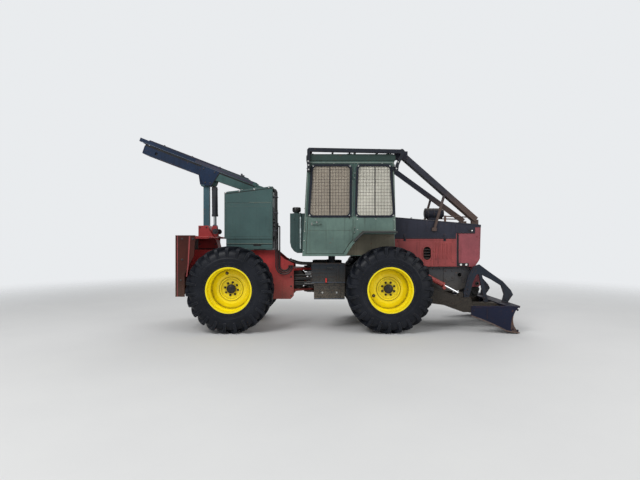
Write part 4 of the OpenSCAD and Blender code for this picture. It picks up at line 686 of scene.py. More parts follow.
def add_tyre(end, side, sign):
    name = f"tyre_{end}_{side}"
    body = f"{end}_{side}_wheel"
    carcass = Piece(f"{name}_carcass", "tyre", body)
    section = CARCASS + [(0.0, 0.69)] + [(-across, radius) for across, radius in reversed(CARCASS)]
    segments = 108
    carcass.skin([[wheel_place(end, sign, i * math.tau / segments, across, radius)
                   for across, radius in section] for i in range(segments)], closed=True)
    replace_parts(carcass.done(smooth=50), name)
    tread = Piece(f"{name}_lugs", "tyre", body)
    step = math.tau / LUGS
    start = {"front": 0.1, "rear": 0.03}[end]
    for row, flip in ((0, 1), (1, -1)):
        for i in range(LUGS):
            root = start + (i + row / 2) * step
            rings = []
            for outer, inner, share, face_half, root_half in LUG_STATIONS:
                middle = root + share * LUG_SWEEP
                rings.append([wheel_place(end, sign, middle + turn / spot[1], flip * spot[0],
                                          spot[1]) for spot, turn in ((inner, -root_half),
                                                                      (outer, -face_half),
                                                                      (outer, face_half),
                                                                      (inner, root_half))])
            tread.skin(rings)
    tread.done(bevel=0.0045, smooth=45)


def add_wheel_fittings(end, side, sign):
    body = f"{end}_{side}_wheel"
    out = Vector((0, sign, 0))

    def dish(across, radius=0.0, angle=0.0):
        return wheel_place(end, sign, angle, across - HUB_DEPTH, radius)

    lip = Piece(f"tyre_bead_{end}_{side}", "tyre", body)
    for face in (-1, 1):
        rings = [[wheel_place(end, sign, i * math.tau / 96, face * across, radius)
                  for across, radius in BEAD_LIP] for i in range(96)]
        lip.skin(rings, closed=True)
    lip.done(smooth=50)
    cap = Piece(f"hub_cap_{end}_{side}", "grease", body)
    cap.lathe([(0.06, 0.02), (0.0795, 0.02), (0.08, 0.044), (0.079, 0.052), (0.074, 0.0565),
               (0.052, 0.057), (0.05, 0.0585), (0.026, 0.06), (0.0, 0.0602)], dish(0), out, 48)
    for i in range(6):
        cap.bolt(dish(0.0572, 0.063, i * math.tau / 6 + 0.2), out, 0.0062, washer=False)
    cap.done(smooth=40)
    dirt = Piece(f"dish_dirt_{end}_{side}", "dish_dirt", body)
    for radius, half, across in ((0.2035, 0.0035, 0.037), (0.214, 0.0025, 0.027),
                                 (0.254, 0.0022, 0.0295), (0.301, 0.0018, 0.018)):
        dirt.hoop(dish(across), out, radius, half, 96, 6)
    dirt.done(smooth=60)
    turn = {"front": math.radians(22.5), "rear": math.radians(34)}[end]
    nuts = Piece(f"wheel_nuts_{end}_{side}", "grease", body)
    for i in range(8):
        nuts.bolt(dish(0.005, 0.112, turn + i * math.tau / 8), out, 0.015, stud=0.008)
    nuts.done(bevel=0.0008)
    valve = Piece(f"valve_{end}_{side}", "bare", body)
    angle = {"front": math.radians(205), "rear": math.radians(105)}[end]
    start = dish(-0.02, 0.2805, angle)
    slope = out * 0.974 + (dish(0, 1, angle) - dish(0)) * 0.225
    patch = Piece(f"valve_dirt_{end}_{side}", "dish_dirt", body)
    patch.lathe([(0.029, -0.002), (0.029, 0.0014), (0.0, 0.0016)], dish(0.0285, 0.2805, angle),
                slope, 28)
    patch.done()
    valve.rod(start, start + out * 0.05, 0.0065, 12)
    valve.rod(start + out * 0.05, start + out * 0.066, 0.0085, 6)
    valve.done(bevel=0.0008)


for end in ENDS:
    for side, sign in SIDES:
        add_tyre(end, side, sign)
        add_wheel_fittings(end, side, sign)


# Outlines in a plane

def rounded(points, radius, steps=7):
    """Outline with its corners turned into arcs."""
    points = [Vector(point) for point in points]
    result = []
    for i, corner in enumerate(points):
        before = (points[i - 1] - corner).normalized()
        after = (points[(i + 1) % len(points)] - corner).normalized()
        half = before.angle(after) / 2
        centre = corner + (before + after).normalized() * radius / math.sin(half)
        run = radius / math.tan(half)
        start, end = corner + before * run - centre, corner + after * run - centre
        for step in range(steps + 1):
            result.append(centre + start.slerp(end, step / steps).normalized() * radius)
    return result


def grown(points, by):
    middle = sum((Vector(point) for point in points), Vector((0, 0))) / len(points)
    return [Vector(point) + Vector((math.copysign(by, point[0] - middle.x),
                                    math.copysign(by, point[1] - middle.y))) for point in points]


def spread(points):
    """Lowest and highest u and v of an outline."""
    us, vs = [point[0] for point in points], [point[1] for point in points]
    return min(us), max(us), min(vs), max(vs)


def span_at(points, axis, value):
    """Where an outline is cut by a line on which the given axis has the value."""
    cuts = []
    for i, point in enumerate(points):
        other = points[(i + 1) % len(points)]
        low, high = sorted((point[axis], other[axis]))
        if low <= value < high:
            t = (value - point[axis]) / (other[axis] - point[axis])
            cuts.append(point[1 - axis] + t * (other[1 - axis] - point[1 - axis]))
    return (min(cuts), max(cuts)) if len(cuts) >= 2 else None


# Faces that trim sits on, by their distance from the machine's middle plane

CAB_HALF = 0.78
HOOD_HALF = 0.5
NOSE_HALF = 0.49
FRAME_RAIL_HALF = 0.42
STEP_TOP_HALF = 0.8
STEP_FOOT_HALF = 0.79
TANK_HALF = 0.49
HOUSE_HALF = 0.5
HOUSE_FOOT_HALF = 0.485
REAR_FRAME_HALF = 0.35
PEDESTAL_HALF = 0.15
WING_HALF = 1.0
BEAM_HALF = 0.11
BOOM_RAIL_HALF = 0.12
BLADE_HALF = 1.05
ARM_HALF = 0.62
HORN_HALF = 0.585
# How far a strip's back and a bolt's seat stand off the face under them
CLEAR = 0.0002
SEAT = 0.0004
RIVET = [(0.007, 0.0), (0.006, 0.0025), (0.003, 0.0038), (0, 0.004)]


# Cab: windows, mesh guards and trim

CAB_LOW = 1.3
CAB_HIGH = 3.07
WINDOW_R = 0.06
DOOR_WINDOW = [(0.025, 2.01), (0.085, 2.86), (0.718, 2.86), (0.708, 2.01)]
SIDE_WINDOW = [(0.845, 2.01), (0.872, 2.86), (1.412, 2.86), (1.47, 2.01)]
WINDSHIELD = [(-0.62, 2.05), (-0.6, 2.86), (0.6, 2.86), (0.62, 2.05)]
REAR_WINDOW = rect(-0.54, 2.15, 0.54, 2.86)


def cab_front(z):
    return 1.53 - (z - CAB_LOW) * 0.045 / (CAB_HIGH - CAB_LOW)


def cab_rear(z):
    return -0.11 + (z - CAB_LOW) * 0.1 / (CAB_HIGH - CAB_LOW)


def on_flank(sign, half=CAB_HALF):
    """Places (along, up, out) on a side face."""
    return lambda u, v, w: at(u, sign * (half + w), v)


def across(u, v, w):
    """Places (along, up, aside) for what runs over the machine's whole width."""
    return at(u, w, v)


def on_cab_front(u, v, w):
    return at(cab_front(v) + w, u, v)


def on_cab_rear(u, v, w):
    return at(cab_rear(v) - w, u, v)


def add_guard(name, body, window, place, outward, node, pitch=(0.05, 0.058)):
    """Frame with bolted corners and a fine wire mesh, outside a window."""
    inner = rounded(window, WINDOW_R)
    outer = rounded(grown(window, 0.04), WINDOW_R + 0.02)
    guard = Piece(name, "wire", body, slot="mesh_wire")
    guard.frame(outer, inner, place, SEAT, 0.01)
    low_u, high_u, low_v, high_v = spread(window)
    reach = grown(window, 0.006)
    columns = round((high_u - low_u) / pitch[0])
    rows = round((high_v - low_v) / pitch[1])
    for i in range(1, columns):
        u = low_u + (high_u - low_u) * i / columns
        cut = span_at(reach, 0, u)
        if cut:
            guard.rod(place(u, cut[0], 0.004), place(u, cut[1], 0.004), 0.003, 7)
    for i in range(1, rows):
        v = low_v + (high_v - low_v) * i / rows
        cut = span_at(reach, 1, v)
        if cut:
            guard.rod(place(cut[0], v, 0.0082), place(cut[1], v, 0.0082), 0.003, 7)
    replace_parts(guard.done(bevel=0.0012), node)
    bolts = Piece(f"{name}_bolts", "zinc", body)
    for u, v in grown(window, 0.004):
        bolts.bolt(place(u, v, 0.01), outward, 0.0095)
    bolts.done(bevel=0.0006)


def add_pane(name, body, window, place, finish, split=True):
    """Pane in its rubber seal, with the overlap of two sliding halves."""
    edge = rounded(grown(window, 0.001), WINDOW_R)
    inner = rounded(grown(window, -0.016), WINDOW_R - 0.014)
    seal = Piece(f"{name}_seal", "seal", body)
    seal.frame(edge, inner, place, -0.034, -0.004)
    low_u, high_u, low_v, high_v = spread(window)
    if split:
        middle = (low_u + high_u) / 2
        seal.strips(place, (middle - 0.008, low_v + 0.01, middle + 0.008, high_v - 0.01, -0.008),
                    low=-0.028)
    seal.done(bevel=0.003)
    glass = Piece(f"{name}_glass", finish, body)
    glass.plate(rounded(grown(window, -0.01), WINDOW_R - 0.01), place, -0.021, -0.017)
    glass.done()


for side, sign in SIDES:
    out = (0, sign, 0)
    add_guard(f"door_guard_{side}", f"{side}_door", DOOR_WINDOW, on_flank(sign), out,
              f"door_mesh_{side}")
    add_pane(f"door_window_{side}", f"{side}_door", DOOR_WINDOW, on_flank(sign), "brown_glass")
    add_guard(f"side_guard_{side}", "front_body", SIDE_WINDOW, on_flank(sign), out, "cab_mesh")
    add_pane(f"side_window_{side}", "front_body", SIDE_WINDOW, on_flank(sign), "glass")
add_guard("windshield_guard", "front_body", WINDSHIELD, on_cab_front, (1, 0, 0), "cab_mesh",
          (0.075, 0.075))
add_pane("windshield", "front_body", WINDSHIELD, on_cab_front, "glass", split=False)
add_guard("rear_guard", "front_body", REAR_WINDOW, on_cab_rear, (-1, 0, 0), "cab_mesh",
          (0.075, 0.075))
add_pane("rear_window", "front_body", REAR_WINDOW, on_cab_rear, "glass", split=False)


def add_cab_trim(side, sign):
    """Drip rail, welts and sill, the door's lock and latch, and bolts."""
    flank, out, door = on_flank(sign), Vector((0, sign, 0)), f"{side}_door"
    trim = Piece(f"cab_seams_{side}", "cab")
    trim.strips(flank, (cab_rear(2.95) + 0.004, 2.936, cab_front(2.95) - 0.004, 2.957, 0.014),
                (0.792, 1.72, 0.812, 2.93, 0.006), (0.8, 1.972, cab_front(1.97) - 0.012, 1.984,
                                                    0.007), low=CLEAR)
    trim.plate([(cab_front(2.0) - 0.04, 1.735), (cab_front(2.0) - 0.026, 1.735),
                (cab_front(2.95) - 0.026, 2.93), (cab_front(2.95) - 0.04, 2.93)], flank, CLEAR,
               0.005)
    trim.done(bevel=0.002)
    trim = Piece(f"door_trim_{side}", "door", door)
    trim.strips(flank, (cab_rear(1.98) + 0.072, 1.972, 0.764, 1.984, 0.007),
                (0.05, 1.905, 0.235, 1.95, 0.003), low=CLEAR)
    trim.done(bevel=0.002)
    lock = Piece(f"door_lock_{side}", "bare", door)
    lock.lathe([(0.017, 0.0), (0.017, 0.01), (0.013, 0.016), (0.0, 0.016)],
               flank(0.142, 1.886, CLEAR), out, 24)
    lock.box(flank(0.046, 1.838, -0.001), flank(0.072, 1.88, 0.004))
    lock.done(bevel=0.0015)
    latch = Piece(f"window_latch_{side}", "wire", door)
    latch.box(flank(0.685, 1.988, 0.0), flank(0.75, 2.006, 0.026))
    latch.box(flank(0.705, 1.955, 0.0), flank(0.722, 1.99, 0.018))
    latch.done(bevel=0.003)
    hinges = Piece(f"door_hinge_bolts_{side}", "zinc")
    hinges.bolt_set(flank, [(0.803, z) for z in (1.718, 1.802, 2.658, 2.742)], 0.008, out, 0.0075,
                    washer=False)
    hinges.bolt_set(flank, [(x, 2.915) for x in (0.02, 0.44, 0.86, 1.28, 1.47)], SEAT, out, 0.007)
    hinges.done(bevel=0.0005)
    lower = Piece(f"cab_panel_bolts_{side}", "zinc")
    lower.bolt_set(flank, ((1.49, 1.76), (1.485, 1.93), (0.85, 1.76), (0.85, 1.94), (1.17, 1.945)),
                   SEAT, out, 0.007)
    lower.bolts(flank(-0.085, 1.4, SEAT), flank(-0.06, 1.9, SEAT), 4, out, 0.007)
    lower.done(bevel=0.0005)


for side, sign in SIDES:
    add_cab_trim(side, sign)


def add_roof_details():
    beads = Piece("roof_seams", "roof")
    for y in (-0.5, -0.167, 0.167, 0.5):
        beads.strips(lambda u, v, w: at(u, v, 3.0695 + w), (0.06, y - 0.03, 1.43, y + 0.03, 0.007),
                     low=0.0)
    beads.done(bevel=0.006, segments=3)
    welds = Piece("rack_welds", "rack")
    bars = [0.01 + i * (1.64 - 0.01 - 0.032) / 4 + 0.016 for i in range(5)]
    for x in bars:
        for y in (-0.74, -0.247, 0.247, 0.74):
            for turn in (-1, 1):
                start = at(x + turn * 0.017, y - 0.016, 3.1595)
                welds.weld(start, start + Vector((0, 0.032, 0)), 0.0035, 6)
    for x in (0.046, 0.716, 1.396):
        for y in (-0.74, 0.74):
            welds.box(at(x - 0.045, y - 0.04, 3.0704), at(x + 0.045, y + 0.04, 3.078))
            for dx, dy in ((-0.032, -0.028), (0.032, -0.028), (-0.032, 0.028), (0.032, 0.028)):
                welds.bolt(at(x + dx, y + dy, 3.078), (0, 0, 1), 0.008, washer=False)
    welds.done(bevel=0.001)


add_roof_details()


def add_cab_beads(side, sign):
    """Welts at the cab's corners, pale as a painted highlight, rack fittings, fender lips and the
    dirty wheel arch.
    """
    flank, out = on_flank(sign), Vector((0, sign, 0))
    # The welts' pale bead finish is a painted highlight.
    beads = Piece(f"cab_beads_{side}", "bead")
    for edge, near, far in ((cab_rear, 0.006, 0.024), (cab_front, -0.024, -0.008)):
        beads.plate([(edge(1.74) + near, 1.74), (edge(1.74) + far, 1.74), (edge(2.93) + far, 2.93),
                     (edge(2.93) + near, 2.93)], flank, CLEAR, 0.0065)
    beads.plate([(cab_rear(2.91) + 0.006, 2.916), (cab_front(2.91) - 0.006, 2.916),
                 (cab_front(2.93) - 0.006, 2.934), (cab_rear(2.93) + 0.006, 2.934)], flank, CLEAR,
                0.011)
    beads.strips(flank, (0.86, 1.742, 1.48, 1.749, 0.004), low=CLEAR)
    beads.done(bevel=0.0025)
    crease = Piece(f"door_crease_{side}", "door", f"{side}_door")
    crease.strips(flank, (-0.01, 1.744, 0.764, 1.751, 0.004), low=CLEAR)
    crease.done(bevel=0.0015)
    lip = Piece(f"fender_lip_{side}", "liner")
    outer = ((0.79, 1.561), (0.86, 1.63), (0.926, 1.697), (0.95, 1.709), (1.2, 1.71), (1.512, 1.71))
    inner = ((0.79, 1.57), (0.928, 1.72), (0.95, 1.726), (1.512, 1.726))
    lip.tube([at(x, sign * 0.995, z) for x, z in outer], 0.013, 12)
    lip.tube([at(x, sign * 0.789, z) for x, z in inner], 0.008, 10)
    lip.done(smooth=60)
    dirt = Piece(f"arch_skin_{side}", "arch")
    arch = ((0.652, 1.315), (0.7705, 1.488), (0.942, 1.6785), (1.515, 1.6785))
    section = ((0.6405, 0), (0.7795, 0), (0.7795, -0.002), (0.6405, -0.002))
    dirt.skin([[at(x, sign * y, z + lift) for y, lift in section] for x, z in arch])
    dirt.plate([(0.655, 1.312), (0.77, 1.482), (0.944, 1.676), (1.512, 1.676), (1.52, 1.312)],
               on_flank(sign, 0.64), SEAT, 0.002)
    dirt.done()
    rack = Piece(f"rack_bolts_{side}", "zinc")
    spots = ((0.003, 2.795), (0.003, 2.87), (1.515, 2.812), (-0.002, 2.935), (1.545, 2.925))
    rack.bolt_set(on_flank(sign, 0.8526), spots, 0, out, 0.01)
    rack.done(bevel=0.0006)


for side, sign in SIDES:
    add_cab_beads(side, sign)


# Bonnet, side panels, nose and front frame

HOOD_REAR = 1.5303
NOSE_X = 3.115
LAMP_X = (2.738, 2.834)
LAMP_Z = 1.136
VENT = (2.125, 1.34)
# A handle's path: (aside, rise)
HANDLE = ((-0.05, -0.001), (-0.05, 0.028), (-0.04, 0.036), (0.04, 0.036), (0.05, 0.028),
          (0.05, -0.001))


def hood_top(x):
    return 1.99 + (x - HOOD_REAR) * (1.855 - 1.99) / (NOSE_X - HOOD_REAR)


def stadium(middle, radius, half, count=16):
    """Upright slot with round ends."""
    points = []
    for turn, level in ((0, half), (math.pi, -half)):
        for i in range(count + 1):
            angle = turn + i * math.pi / count
            points.append((middle[0] + radius * math.cos(angle), middle[1] + level + radius
                           * math.sin(angle)))
    return points


def add_bonnet_side(side, sign):
    """Seams, rivets, catch, lamps, louvres and vent of the bonnet, and the frame rail under it."""
    flank, nose, out = on_flank(sign, HOOD_HALF), on_flank(sign, NOSE_HALF), Vector((0, sign, 0))
    seams = Piece(f"hood_seams_{side}", "hood")
    seams.tube([at(x, sign * 0.4925, hood_top(x) - 0.008) for x in (1.56, 1.9, 2.25, 2.6, 2.95,
                                                                    3.05)], 0.013, 12)
    seams.strips(flank, (1.545, 1.604, 2.64, 1.624, 0.006), (2.652, 1.704, 2.984, 1.722, 0.006))
    for x in (2.105, 2.64):
        seams.plate([(x, 1.726), (x + 0.036, 1.726), (x + 0.036, hood_top(x) - 0.022),
                     (x, hood_top(x) - 0.021)], flank, -0.001, 0.004)
    for x in (1.7, 2.42):
        seams.strips(flank, (x, 1.56, x + 0.044, 1.69, 0.005))
        seams.strips(flank, (x + 0.012, 1.59, x + 0.032, 1.672, 0.02), low=0.004)
    seams.done(bevel=0.002)
    rivets = Piece(f"hood_rivets_{side}", "wire")
    for first, step, count, z in ((1.58, 0.088, 13, 1.614), (2.68, 0.072, 5, 1.713)):
        for i in range(count):
            rivets.lathe(RIVET, flank(first + step * i, z, 0.006), out, 10)
    rivets.done()
    # Catch on the nose, with its bright screw, and the two white lamps under it. The near-black rings
    # round the lamps are painted shadow; the catch and the ring under the screw take the same
    # near-black finish.
    catch = Piece(f"nose_catch_{side}", "shade")
    catch.plate(rounded(rect(2.872, 1.734, 2.905, 1.768), 0.01), flank, -0.001, 0.004)
    catch.lathe([(0.026, -0.001), (0.026, 0.005), (0.02, 0.008)], flank(2.93, 1.748, 0), out, 24)
    for x in LAMP_X:
        catch.lathe([(0.033, 0.0), (0.033, 0.003), (0.027, 0.004)], nose(x, LAMP_Z, 0), out, 28)
    catch.done(bevel=0.001)
    screw = Piece(f"nose_screws_{side}", "zinc")
    screw.lathe([(0.015, 0.006), (0.014, 0.012), (0.006, 0.015), (0, 0.0152)],
                flank(2.93, 1.748, 0), out, 20)
    screw.done()
    screws = Piece(f"panel_screws_{side}", "panel_red")
    screws.bolt_set(nose, ((2.7, 1.68), (3.03, 1.64), (2.7, 1.4), (3.02, 1.18)), SEAT, out, 0.0085)
    screws.bolt_set(flank, ((1.6, 1.56), (1.6, 1.18), (2.59, 1.56), (2.59, 1.18), (2.33, 1.18)),
                    SEAT, out, 0.0085)
    screws.done()
    lamps = Piece(f"white_lamps_{side}", "white_lamp")
    lens = [(0.026, 0.001), (0.0255, 0.0032), (0.018, 0.0042), (0.009, 0.0046), (0, 0.0047)]
    for x in LAMP_X:
        lamps.lathe(lens, nose(x, LAMP_Z, 0), out, 28)
    lamps.done(smooth=60)
    # Near-black patch round the white lamps: painted shade.
    shade_patch = Piece(f"lamp_shade_patch_{side}", "shade")
    shade_patch.plate(rounded(rect(2.694, 1.103, 2.88, 1.163), 0.008), nose, -0.001, 0.0015)
    shade_patch.done()
    # Near-black strip down the seam between nose and side panel: painted shade in the gap.
    gap = Piece(f"nose_gap_shade_{side}", "shade")
    gap.strips(nose, (2.664, 1.106, 2.698, 1.694, 0.0016))
    gap.done()
    # Louvres pressed into the side panel, its folds, and the lip round the vent
    panel = Piece(f"panel_louvres_{side}", "panel_red")
    profile = ((0.0, 0.0), (0.01, 0.0075), (0.028, 0.0095), (0.034, 0.0))
    for i in range(5):
        x = 2.27 + i * 0.066
        panel.skin([[flank(x + u, z, w) for u, w in profile] for z in (1.24, 1.262, 1.508, 1.53)])
    panel.frame(stadium(VENT, 0.088, 0.05), stadium(VENT, 0.068, 0.05), flank, -0.002, 0.01)
    panel.strips(flank, (1.545, 1.108, 2.636, 1.126, 0.005), (1.545, 1.578, 2.636, 1.592, 0.005),
                 (1.985, 1.13, 2.003, 1.574, 0.004), (2.236, 1.13, 2.248, 1.574, 0.004))
    panel.done(bevel=0.0015)
    # The slats take the near-black finish: painted shade inside the vent.
    slats = Piece(f"vent_slats_{side}", "shade")
    section = ((0.487, 0), (0.487, 0.004), (0.496, -0.018), (0.496, -0.022))
    for i in range(4):
        slats.skin([[at(x, sign * y, 1.262 + i * 0.052 + rise) for y, rise in section]
                    for x in (2.062, 2.188)])
    slats.done()
    ring = Piece(f"frame_hole_ring_{side}", "frame")
    hole = at(2.735, sign * FRAME_RAIL_HALF, 0.948)
    section = ((0.036, -0.004), (0.036, 0.006), (0.041, 0.009), (0.05, 0.007), (0.052, -0.001))
    ring.skin([[hole + Vector((cos * r, sign * w, sin * r)) for r, w in section]
               for cos, sin in circle(40)], closed=True)
    ring.done(smooth=60)
    rail = Piece(f"rail_fittings_{side}", "frame")
    on_rail = on_flank(sign, FRAME_RAIL_HALF)
    rail.plate([(2.44, 0.8), (2.64, 0.86), (2.64, 1.06), (2.44, 1.06)], on_rail, -0.001, 0.012)
    rail.plate([(2.78, 0.8), (2.925, 0.85), (2.925, 1.092), (2.78, 1.092)], on_rail, -0.001, 0.01)
    rail.weld(on_rail(2.44, 1.06, 0.006), on_rail(2.64, 1.06, 0.006), 0.006)
    rail.done(bevel=0.002)
    bolts = Piece(f"rail_bolts_{side}", "frame")
    bolts.bolt_set(on_rail, ((2.48, 1.02), (2.6, 1.02), (2.48, 0.86), (2.6, 0.9)), 0.0122, out,
                   0.013)
    bolts.bolt_set(on_rail, ((2.815, 1.05), (2.89, 1.05), (2.815, 0.87), (2.89, 0.89)), 0.0102, out,
                   0.013)
    bolts.bolts(on_rail(1.24, 0.905, SEAT), on_rail(1.52, 0.905, SEAT), 4, out, 0.016)
    bolts.bolts(on_rail(1.64, 1.06, SEAT), on_rail(2.38, 1.06, SEAT), 7, out, 0.011)
    bolts.done(bevel=0.0008)


def add_bumper():
    """Red block with a towing pin at the front of the frame, behind the blade."""
    block = Piece("front_bumper", "nose_red")
    outline = [(2.932, 0.75), (2.932, 1.05), (3.112, 1.05), (3.13, 1.02), (3.124, 0.76),
               (3.09, 0.728), (2.95, 0.728)]
    block.plate(outline, across, -0.4, 0.4)
    block.done(bevel=0.006, segments=3)
    # Near-black block under the bumper: painted shade under it.
    under = Piece("bumper_under_shade", "shade")
    under.plate([(2.932, 0.6), (2.932, 0.726), (3.1, 0.726), (3.118, 0.69), (3.07, 0.56),
                 (2.98, 0.54)], across, -0.37, 0.37)
    under.done(bevel=0.008, segments=3)
    jaw = Piece("towing_jaw", "frame")
    for z in (0.842, 0.93):
        jaw.plate([(3.12, -0.075), (3.19, -0.06), (3.22, -0.025), (3.22, 0.025), (3.19, 0.06),
                   (3.12, 0.075)], at, z, z + 0.022)
    jaw.rod(at(3.185, 0, 0.815), at(3.185, 0, 0.985), 0.016, 20)
    jaw.hoop(at(3.185, 0, 1.006), (0, 1, 0), 0.022, 0.005, 24)
    for y in (-0.404, 0.404):
        jaw.lathe([(0.034, -0.004), (0.034, 0.006), (0.028, 0.01), (0.018, 0.01), (0.018, -0.004)],
                  at(3.06, y, 0.79), (0, y, 0), 28)
    jaw.done(bevel=0.002)
    fittings = Piece("bumper_bolts", "frame")
    for y in (-0.3, -0.18, 0.18, 0.3):
        for z in (0.84, 0.98):
            fittings.bolt(at(3.1265, y, z), (1, 0, 0.03), 0.015)
    fittings.done(bevel=0.0008)
    loops = Piece("bumper_hoses", "hose")
    for y, drop in ((-0.392, 0.095), (-0.372, 0.07), (0.392, 0.095), (0.372, 0.07)):
        loops.tube([at(2.944 + 0.15 * t, y, 0.7 - drop * math.sin(t * math.pi) - 0.02 * t)
                    for t in (i / 14 for i in range(15))], 0.01, 12)
    loops.done(smooth=60)
    bar = Piece("hood_guard_ties", "rusty")
    for sign in (-1, 1):
        bar.rod(at(2.47, sign * 0.47, 2.008), at(3.03, sign * 0.372, 1.992), 0.011, 12)
        bar.box(at(2.44, sign * 0.455, 1.908), at(2.475, sign * 0.485, 2.022))
    bar.done(bevel=0.002)


def add_nose_grille():
    """Bars across the nose's slots, the bonnet's top seams and handles, the air cleaner's bands."""
    bars = Piece("nose_bars", "guard")
    for y in (-0.25, -0.125, 0.0, 0.125, 0.25):
        bars.rod(at(3.075, y, 1.312), at(3.088, y, 1.76), 0.006, 10)
    bars.done()
    top = Piece("hood_top_seam", "hood")
    for y in (-0.33, 0.33):
        top.tube([at(x, y, hood_top(x) + 0.001) for x in (1.56, 2.0, 2.5, 3.08)], 0.006, 8)
    for x in (1.9, 2.8):
        for y in (-0.2, 0.2):
            top.tube([at(x, y + aside, hood_top(x) + rise) for aside, rise in HANDLE], 0.006, 10)
    top.done(smooth=50)
    cleaner = Piece("air_cleaner_bands", "frame")
    for x in (2.245, 2.36, 2.47):
        cleaner.lathe(rect(0.0985, -0.01, 0.1025, 0.01), at(x, 0, 2.085), (1, 0, 0), 48)
        cleaner.bolt(at(x, -0.104, 2.085), (0, -1, 0), 0.008)
    cleaner.done(bevel=0.001)


for side, sign in SIDES:
    add_bonnet_side(side, sign)
add_bumper()
add_nose_grille()


# Step boxes and tank

def add_step_details(side, sign):
    """Ribs, edges, bolts, grip and red lamp of the two step boxes."""
    upper, lower = on_flank(sign, STEP_TOP_HALF), on_flank(sign, STEP_FOOT_HALF)
    trim = Piece(f"step_trim_{side}", "box")
    trim.strips(upper, (0.054, 1.146, 0.636, 1.166, 0.006), (0.07, 1.064, 0.455, 1.072, 0.005),
                (0.07, 1.001, 0.455, 1.01, 0.005), (0.07, 0.936, 0.455, 0.944, 0.005),
                (0.472, 0.868, 0.486, 1.136, 0.006), (0.516, 0.868, 0.53, 1.136, 0.006),
                (0.054, 0.86, 0.064, 1.14, 0.004), (0.626, 0.86, 0.636, 1.14, 0.004))
    trim.strips(lower, (0.1, 0.79, 0.626, 0.806, 0.007), (0.1, 0.702, 0.626, 0.712, 0.005),
                (0.11, 0.6, 0.33, 0.64, 0.004), (0.545, 0.58, 0.556, 0.83, 0.005))
    for i in range(9):
        y = sign * (0.555 + i * 0.027)
        trim.box(at(0.08, y, 1.1695), at(0.61, y + sign * 0.008, 1.1745))
    trim.done(bevel=0.0015)
    # Pale lines along the boxes' lower edges: painted highlight.
    lines = Piece(f"step_edges_{side}", "rail_line")
    lines.strips(upper, (0.052, 0.843, 0.638, 0.85, 0.006))
    lines.strips(lower, (0.097, 0.558, 0.628, 0.566, 0.006))
    lines.done(bevel=0.001)
    bolts = Piece(f"step_bolts_{side}", "zinc")
    bolts.bolt_set(lower, ((0.242, 0.668), (0.492, 0.668)), SEAT, (0, sign, 0), 0.0125)
    bolts.done(bevel=0.0008)
    base = Piece(f"step_lamp_base_{side}", "seal", slot="dark_steel")
    base.plate(rounded(rect(0.286, 0.834, 0.326, 0.926), 0.006), upper, -0.001, 0.009)
    grip = ((0.42, 0), (0.42, 0.026), (0.415, 0.034), (0.335, 0.034), (0.33, 0.026), (0.33, 0))
    base.tube([upper(x, 1.098, lift) for x, lift in grip], 0.006, 10)
    base.done(bevel=0.0015)
    lamp = Piece(f"step_lamp_{side}", "red_lamp")
    lamp.plate(rounded(rect(0.292, 0.842, 0.32, 0.918), 0.008), upper, 0.008, 0.019)
    lamp.done(bevel=0.004, segments=3)


def add_tank_details():
    """Straps, gauge tube and ribbed cap of the fuel tank."""
    straps = Piece("tank_straps", "tank")
    for x, low in ((-0.175, 1.362), (-0.285, 1.405)):
        for sign in (-1, 1):
            straps.strips(on_flank(sign, TANK_HALF), (x, low, x + 0.034, 2.063, 0.004), low=-0.002)
            straps.bolt(at(x + 0.017, sign * 0.494, 1.96), (0, sign, 0), 0.009)
        straps.box(at(x, -0.493, 2.058), at(x + 0.034, 0.493, 2.064))
    straps.done(bevel=0.0015)
    gauge = Piece("tank_gauge", "gauge")
    gauge.rod(at(-0.15, -0.504, 1.425), at(-0.15, -0.504, 1.995), 0.013, 16)
    gauge.done(smooth=60)
    cap = Piece("fuel_cap", "seal", slot="dark_steel")
    cap.lathe([(0.0505, 0.03), (0.0725, 0.036), (0.074, 0.05), (0.074, 0.112), (0.068, 0.122),
               (0.0, 0.124)], at(-0.23, -0.3, 2.058), (0, 0, 1), 36)
    for cos, sin in circle(12):
        x, y = -0.23 + 0.0745 * cos, -0.3 + 0.0745 * sin
        cap.rod(at(x, y, 2.112), at(x, y, 2.166), 0.004, 8)
    cap.done(bevel=0.002)


# Winch housing, with the pipes that climb its front

def house_top(x):
    return 2.44 + (x + 1.52) * 0.105 / 0.867


def add_housing_side(side, sign):
    """Flanges, painted shade in the gaps, painted highlight along edges, and bolts on a side of the
    winch housing.
    """
    flank, foot = on_flank(sign, HOUSE_HALF), on_flank(sign, HOUSE_FOOT_HALF)
    rear, front = -1.518, -0.655
    flange = Piece(f"housing_flange_{side}", "housing", "rear_body")
    flange.plate(band(house_top, rear, front, -0.026, -0.001), flank, -0.001, 0.006)
    for x in (rear, front - 0.022):
        flange.strips(flank, (x, 1.606, x + 0.022, house_top(x) - 0.04, 0.003))
    flange.strips(flank, (-1.48, 1.64, -0.7, 2.19, 0.0025))
    flange.strips(foot, (-1.492, 1.42, -0.662, 1.432, 0.008))
    flange.done(bevel=0.002)
    # Near-black strips under the top flange and along the foot: painted shade in the gaps.
    shade = Piece(f"housing_gap_shade_{side}", "shade", "rear_body", slot="dark_green_paint")
    shade.plate(band(house_top, rear, front, -0.037, -0.028), flank, -0.001, 0.0012)
    shade.strips(foot, (-1.49, 1.499, -0.664, 1.511, 0.0012), (-1.0, 1.47, -0.86, 1.496, 0.0012),
                 (-0.99, 1.402, -0.78, 1.414, 0.0012))
    shade.done()
    # Pale lines along the seam and the foot's ledge: painted highlight.
    light = Piece(f"housing_lines_{side}", "bead", "rear_body", slot="dark_green_paint")
    light.strips(flank, (-1.08, 2.2535, -0.66, 2.2595, 0.003))
    light.strips(foot, (-1.492, 1.514, -0.66, 1.522, 0.011))
    light.done(bevel=0.001)
    bolts = Piece(f"housing_bolts_{side}", "zinc", "rear_body")
    spots = [(x, house_top(x) - 0.013) for x in (-1.498, -1.249, -0.98, -0.72)]
    bolts.bolt_set(flank, spots, 0.0062, (0, sign, 0), 0.0105)
    bolts.done(bevel=0.0007)


